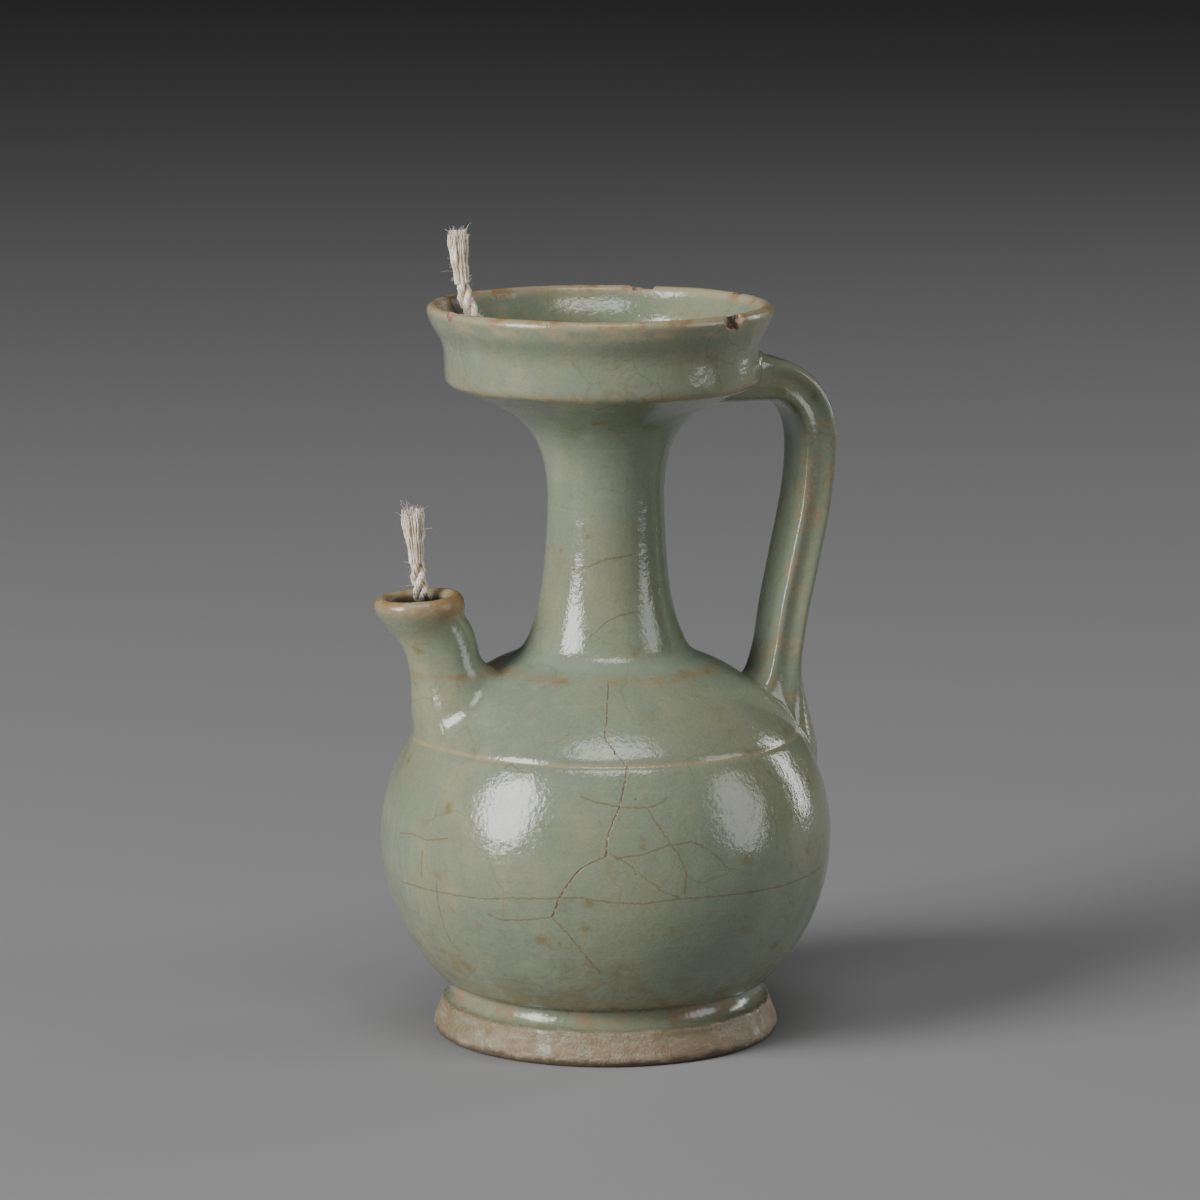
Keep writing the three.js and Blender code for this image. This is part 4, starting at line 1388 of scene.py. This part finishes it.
def chip_tools(chips):
    """Rough wedges that lie where pieces of the lip are missing, narrower on the inner side."""
    bm = bmesh.new()
    for bearing, depth, inward, outline in chips:
        heading = math.radians(bearing)
        outward = Vector((math.cos(heading), math.sin(heading), 0))
        aside = Vector((-outward.y, outward.x, 0))
        edge = Line(outline)
        sides = [edge.at(mark) for mark in edge.spaced(0, edge.length, CHIP_STEP)] + [edge.points[-1]]
        ring = None
        for i in range(CHIP_RINGS + 1):
            reach = LIP_RADIUS - depth + (depth + CHIP_PROUD) * i / CHIP_RINGS
            narrow = 0.62 + 0.38 * smoothstep(0.0, 0.45, i / CHIP_RINGS)
            places = []
            for side in sides:
                place = outward * reach + aside * side.x * narrow
                low = side.y * narrow - inward * max(0.0, 1 - i / 5)
                place.z = RIM_HEIGHT + (low if side.y < 0 else side.y)
                rough = noise.noise_vector(place * 0.75) * 0.40 + noise.noise_vector(place * 2.1) * 0.20
                places.append(place + rough)
            if ring:
                ring = extruded_ring(bm, ring, places)
            else:
                ring = [bm.verts.new(place) for place in places]
                for here, after in zip(ring, ring[1:] + ring[:1]):
                    bm.edges.new((here, after))
    bmesh.ops.holes_fill(bm, edges=bm.edges, sides=0)
    bmesh.ops.triangulate(bm, faces=bm.faces)
    bmesh.ops.recalc_face_normals(bm, faces=bm.faces)
    return bm


def finished(helper):
    """The mesh of a helper object with its modifiers, as a bmesh. The helper is removed."""
    evaluated = helper.evaluated_get(bpy.context.evaluated_depsgraph_get())
    mesh = bpy.data.meshes.new_from_object(evaluated)
    rough = helper.data
    bpy.data.objects.remove(helper)
    if isinstance(rough, bpy.types.Mesh):
        bpy.data.meshes.remove(rough)
    else:
        bpy.data.curves.remove(rough)
    bm = bmesh.new()
    bm.from_mesh(mesh)
    bpy.data.meshes.remove(mesh)
    return bm


def chipped(bm):
    """The vessel with its chips, their rough faces in the material of broken clay."""
    whole = mesh_object("whole", bm, [glaze, broken_clay])
    chips = (DEEP_CHIPS, SHALLOW_CHIPS)
    groups = [mesh_object("chips", chip_tools(group), [broken_clay]) for group in chips]
    for tools in groups:
        cut = whole.modifiers.new("chips", "BOOLEAN")
        cut.operation = "DIFFERENCE"
        cut.solver = "EXACT"
        cut.object = tools
        cut.material_mode = "TRANSFER"
    bm = finished(whole)
    for tools in groups:
        bpy.data.meshes.remove(tools.data)
    for edge in bm.edges:
        if len({face.material_index for face in edge.link_faces}) > 1:
            edge.smooth = False
    return bm


def make_body():
    vessel = Vessel()
    add_spout(vessel)
    add_handle(vessel)
    bmesh.ops.recalc_face_normals(vessel.bm, faces=vessel.bm.faces)
    bm = chipped(smoothed(vessel.bm))
    new_piece("body", bm, "lamp_body", [glaze, broken_clay])


glaze = glaze_material()
broken_clay = break_material()
cotton = cotton_material()
make_body()


def frames_along(line, marks):
    """Place, aside and outward directions along a line, with no twist between them."""
    frames = []
    aside = Vector((0, 1, 0))
    for mark in marks:
        along = line.along(mark, 0.5)
        aside = (aside - along * aside.dot(along)).normalized()
        frames.append((line.at(mark), aside, along.cross(aside)))
    return frames


def tubes(name, runs, sides):
    """One mesh of many thin tubes. Each run is a list of places with a radius."""
    curve = bpy.data.curves.new(name, "CURVE")
    curve.dimensions = "3D"
    curve.bevel_depth = 1.0
    curve.bevel_resolution = sides // 2 - 2
    curve.use_fill_caps = True
    for run in runs:
        spline = curve.splines.new("POLY")
        spline.points.add(len(run) - 1)
        for point, (place, radius) in zip(spline.points, run):
            point.co = (*place, 1)
            point.radius = radius
    helper = bpy.data.objects.new(name + "_line", curve)
    bpy.context.collection.objects.link(helper)
    bm = finished(helper)
    bmesh.ops.recalc_face_normals(bm, faces=bm.faces)
    return bm


# Lengths of a turn of a wick's plies and of the strands in a ply, and how far a ply's middle lies
# from the wick's. Then how many strands a ply has, how many of them lie outside, and how many more
# strands fill the brush at the top, with its length and where the plies start to open into it.
WICK_PITCH = 14.0
STRAND_PITCH = 9.0
PLY_REACH = 1.12
STRANDS = 18
OUTER_STRANDS = 12
BRUSH_STRANDS = 120
BRUSH_LENGTH = 15
FRAYED = 17.0
LOOSE_FIBRES = 330
PATH_STEPS = 60


def round_place(turn, reach):
    return Vector((math.cos(turn), math.sin(turn))) * reach


def brush_place(turn, reach, mark):
    """Offset of a strand in the frayed top, where the cord opens like a brush."""
    return round_place(turn, reach) * (1 + 0.55 * max(0.0, 1 - mark / FRAYED) ** 1.1)


def wick_runs(line, chance):
    """Three twisted plies of fine strands, that come apart and spread at the frayed top."""
    marks = [*line.spaced(0.0, line.length, 1.2), line.length]
    frames = frames_along(line, marks)
    runs = []
    for ply in range(3):
        phase = 2 * math.pi * ply / 3
        for number in range(STRANDS):
            top = chance.uniform(0.3, 2.2) if number % 3 else 0.0
            around_ply = 2 * math.pi * number / OUTER_STRANDS + chance.uniform(-0.15, 0.15)
            reach = 0.80 if number < OUTER_STRANDS else 0.42
            brush_turn = phase + chance.uniform(-1.05, 1.05)
            brush_reach = 2.0 * math.sqrt(chance.uniform(0.05, 1.0))
            radius = chance.uniform(0.21, 0.26)
            run = []
            for mark, (place, aside, outward) in zip(marks, frames):
                if mark < top:
                    continue
                turn = phase + 2 * math.pi * (mark - FRAYED) / WICK_PITCH
                own = around_ply - 2 * math.pi * (mark - FRAYED) / STRAND_PITCH
                twisted = round_place(turn, PLY_REACH) + round_place(own, reach)
                frayed = 1 - smoothstep(FRAYED * 0.35, FRAYED * 1.1, mark)
                offset = twisted.lerp(brush_place(brush_turn, brush_reach, mark), frayed)
                offset *= 1 + 0.10 * math.sin(mark * 0.9 + around_ply * 3)
                thick = 0.62 + 0.38 * smoothstep(-1.5, 9.0, mark - top)
                run.append((place + aside * offset.x + outward * offset.y, radius * thick))
            runs.append(run)
    for _ in range(BRUSH_STRANDS):
        turn = chance.uniform(0, 2 * math.pi)
        reach = 1.95 * math.sqrt(chance.random())
        top = chance.uniform(0.0, 2.2)
        bend = chance.uniform(-0.35, 0.35)
        run = []
        for mark, (place, aside, outward) in zip(marks, frames):
            if top <= mark <= BRUSH_LENGTH:
                offset = brush_place(turn + bend * (1 - mark / BRUSH_LENGTH), reach, mark)
                offset *= 0.93 + 0.07 * math.sin(mark * 1.1 + turn)
                run.append((place + aside * offset.x + outward * offset.y, 0.14))
        runs.append(run)
    return runs


def fibre_runs(line, chance, exposed):
    """Fine loose fibres standing off the frayed top and the open length of a wick."""
    runs = []
    for number in range(LOOSE_FIBRES):
        at_top = number % 3 > 0
        start = chance.uniform(0.4, 5.0) if at_top else chance.uniform(4.0, exposed)
        place, aside, outward = frames_along(line, [start])[0]
        turn = chance.uniform(0, 2 * math.pi)
        side = aside * math.cos(turn) + outward * math.sin(turn)
        upward = -line.along(start, 0.5)
        length = chance.uniform(0.7, 2.1) if number % 23 else chance.uniform(3.0, 5.0)
        reach = 2.3 * math.sqrt(chance.uniform(0.1, 1.0)) if at_top else 1.7
        rise = chance.uniform(0.9, 2.4) if at_top else chance.uniform(0.1, 1.6)
        heading = (upward * rise + side * chance.uniform(0.2, 1.0)).normalized()
        curl = Vector([chance.uniform(-1, 1) for _ in range(3)]) * 0.13
        curl.z = min(curl.z, 0.0)
        here = place + side * reach
        run = []
        steps = 8
        for i in range(steps + 1):
            run.append((here.copy(), 0.042 * (1 - 0.5 * i / steps)))
            here = here + heading * (length / steps)
            heading = (heading + curl).normalized()
        runs.append(run)
    return runs


def make_wick(name, route, exposed, seed):
    """Twisted strands and loose fibres. The exposed length is the part above the clay."""
    chance = random.Random(seed)
    line = smooth_line(route)
    strands = tubes(name, wick_runs(line, chance), 6)
    wick = new_piece(name + "_strands", strands, name, [cotton])
    fuzz = tubes(name + "_fuzz", fibre_runs(line, chance, exposed), 4)
    loose = new_piece(name + "_fibres", fuzz, None, [cotton])
    path = [line.at(line.length * i / PATH_STEPS) * MM for i in range(PATH_STEPS, -1, -1)]


make_wick("spout_wick", SPOUT_WICK, 24, 11)
make_wick("dish_wick", DISH_WICK, 30, 12)


def make_floor():
    bm = bmesh.new()
    bmesh.ops.create_grid(bm, x_segments=1, y_segments=1, size=14.0)
    floor = mesh_object("floor", bm, [floor_material()])
    floor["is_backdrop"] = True


def soft_box(name, azimuth, elevation, distance, size, power):
    """An area light aimed at the body, by its angles to the right of the camera and up."""
    data = bpy.data.lights.new(name, "AREA")
    data.shape = "ELLIPSE"
    data.size, data.size_y = size
    data.energy = power
    light = bpy.data.objects.new(name, data)
    bpy.context.collection.objects.link(light)
    heading = math.radians(azimuth) - CAMERA_HEADING
    height = math.radians(elevation)
    aim = Vector((0, 0, 0.1))
    away = Vector((
        math.sin(heading) * math.cos(height), -math.cos(heading) * math.cos(height), math.sin(height),
    ))
    light.location = aim + away * distance
    light.rotation_euler = (-away).to_track_quat("-Z", "Y").to_euler()


make_floor()
soft_box("left_box", -55, 22, 2.5, (1.28, 1.84), 100)
soft_box("right_box", 76, 16, 2.5, (1.16, 1.84), 19)
soft_box("back_box", 124, 12, 2.8, (0.5, 1.6), 16)
soft_box("top_box", 8, 66, 3.0, (2.0, 0.9), 30)
world = bpy.data.worlds.new("studio")
world.use_nodes = True
background = world.node_tree.nodes["Background"].inputs
background["Color"].default_value = (0.5, 0.5, 0.5, 1)
background["Strength"].default_value = 0.06
bpy.context.scene.world = world

boxes = {"cad": CAD_BOX, "visual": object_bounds()}
boxes = {name: [list(corner) for corner in box] for name, box in boxes.items()}
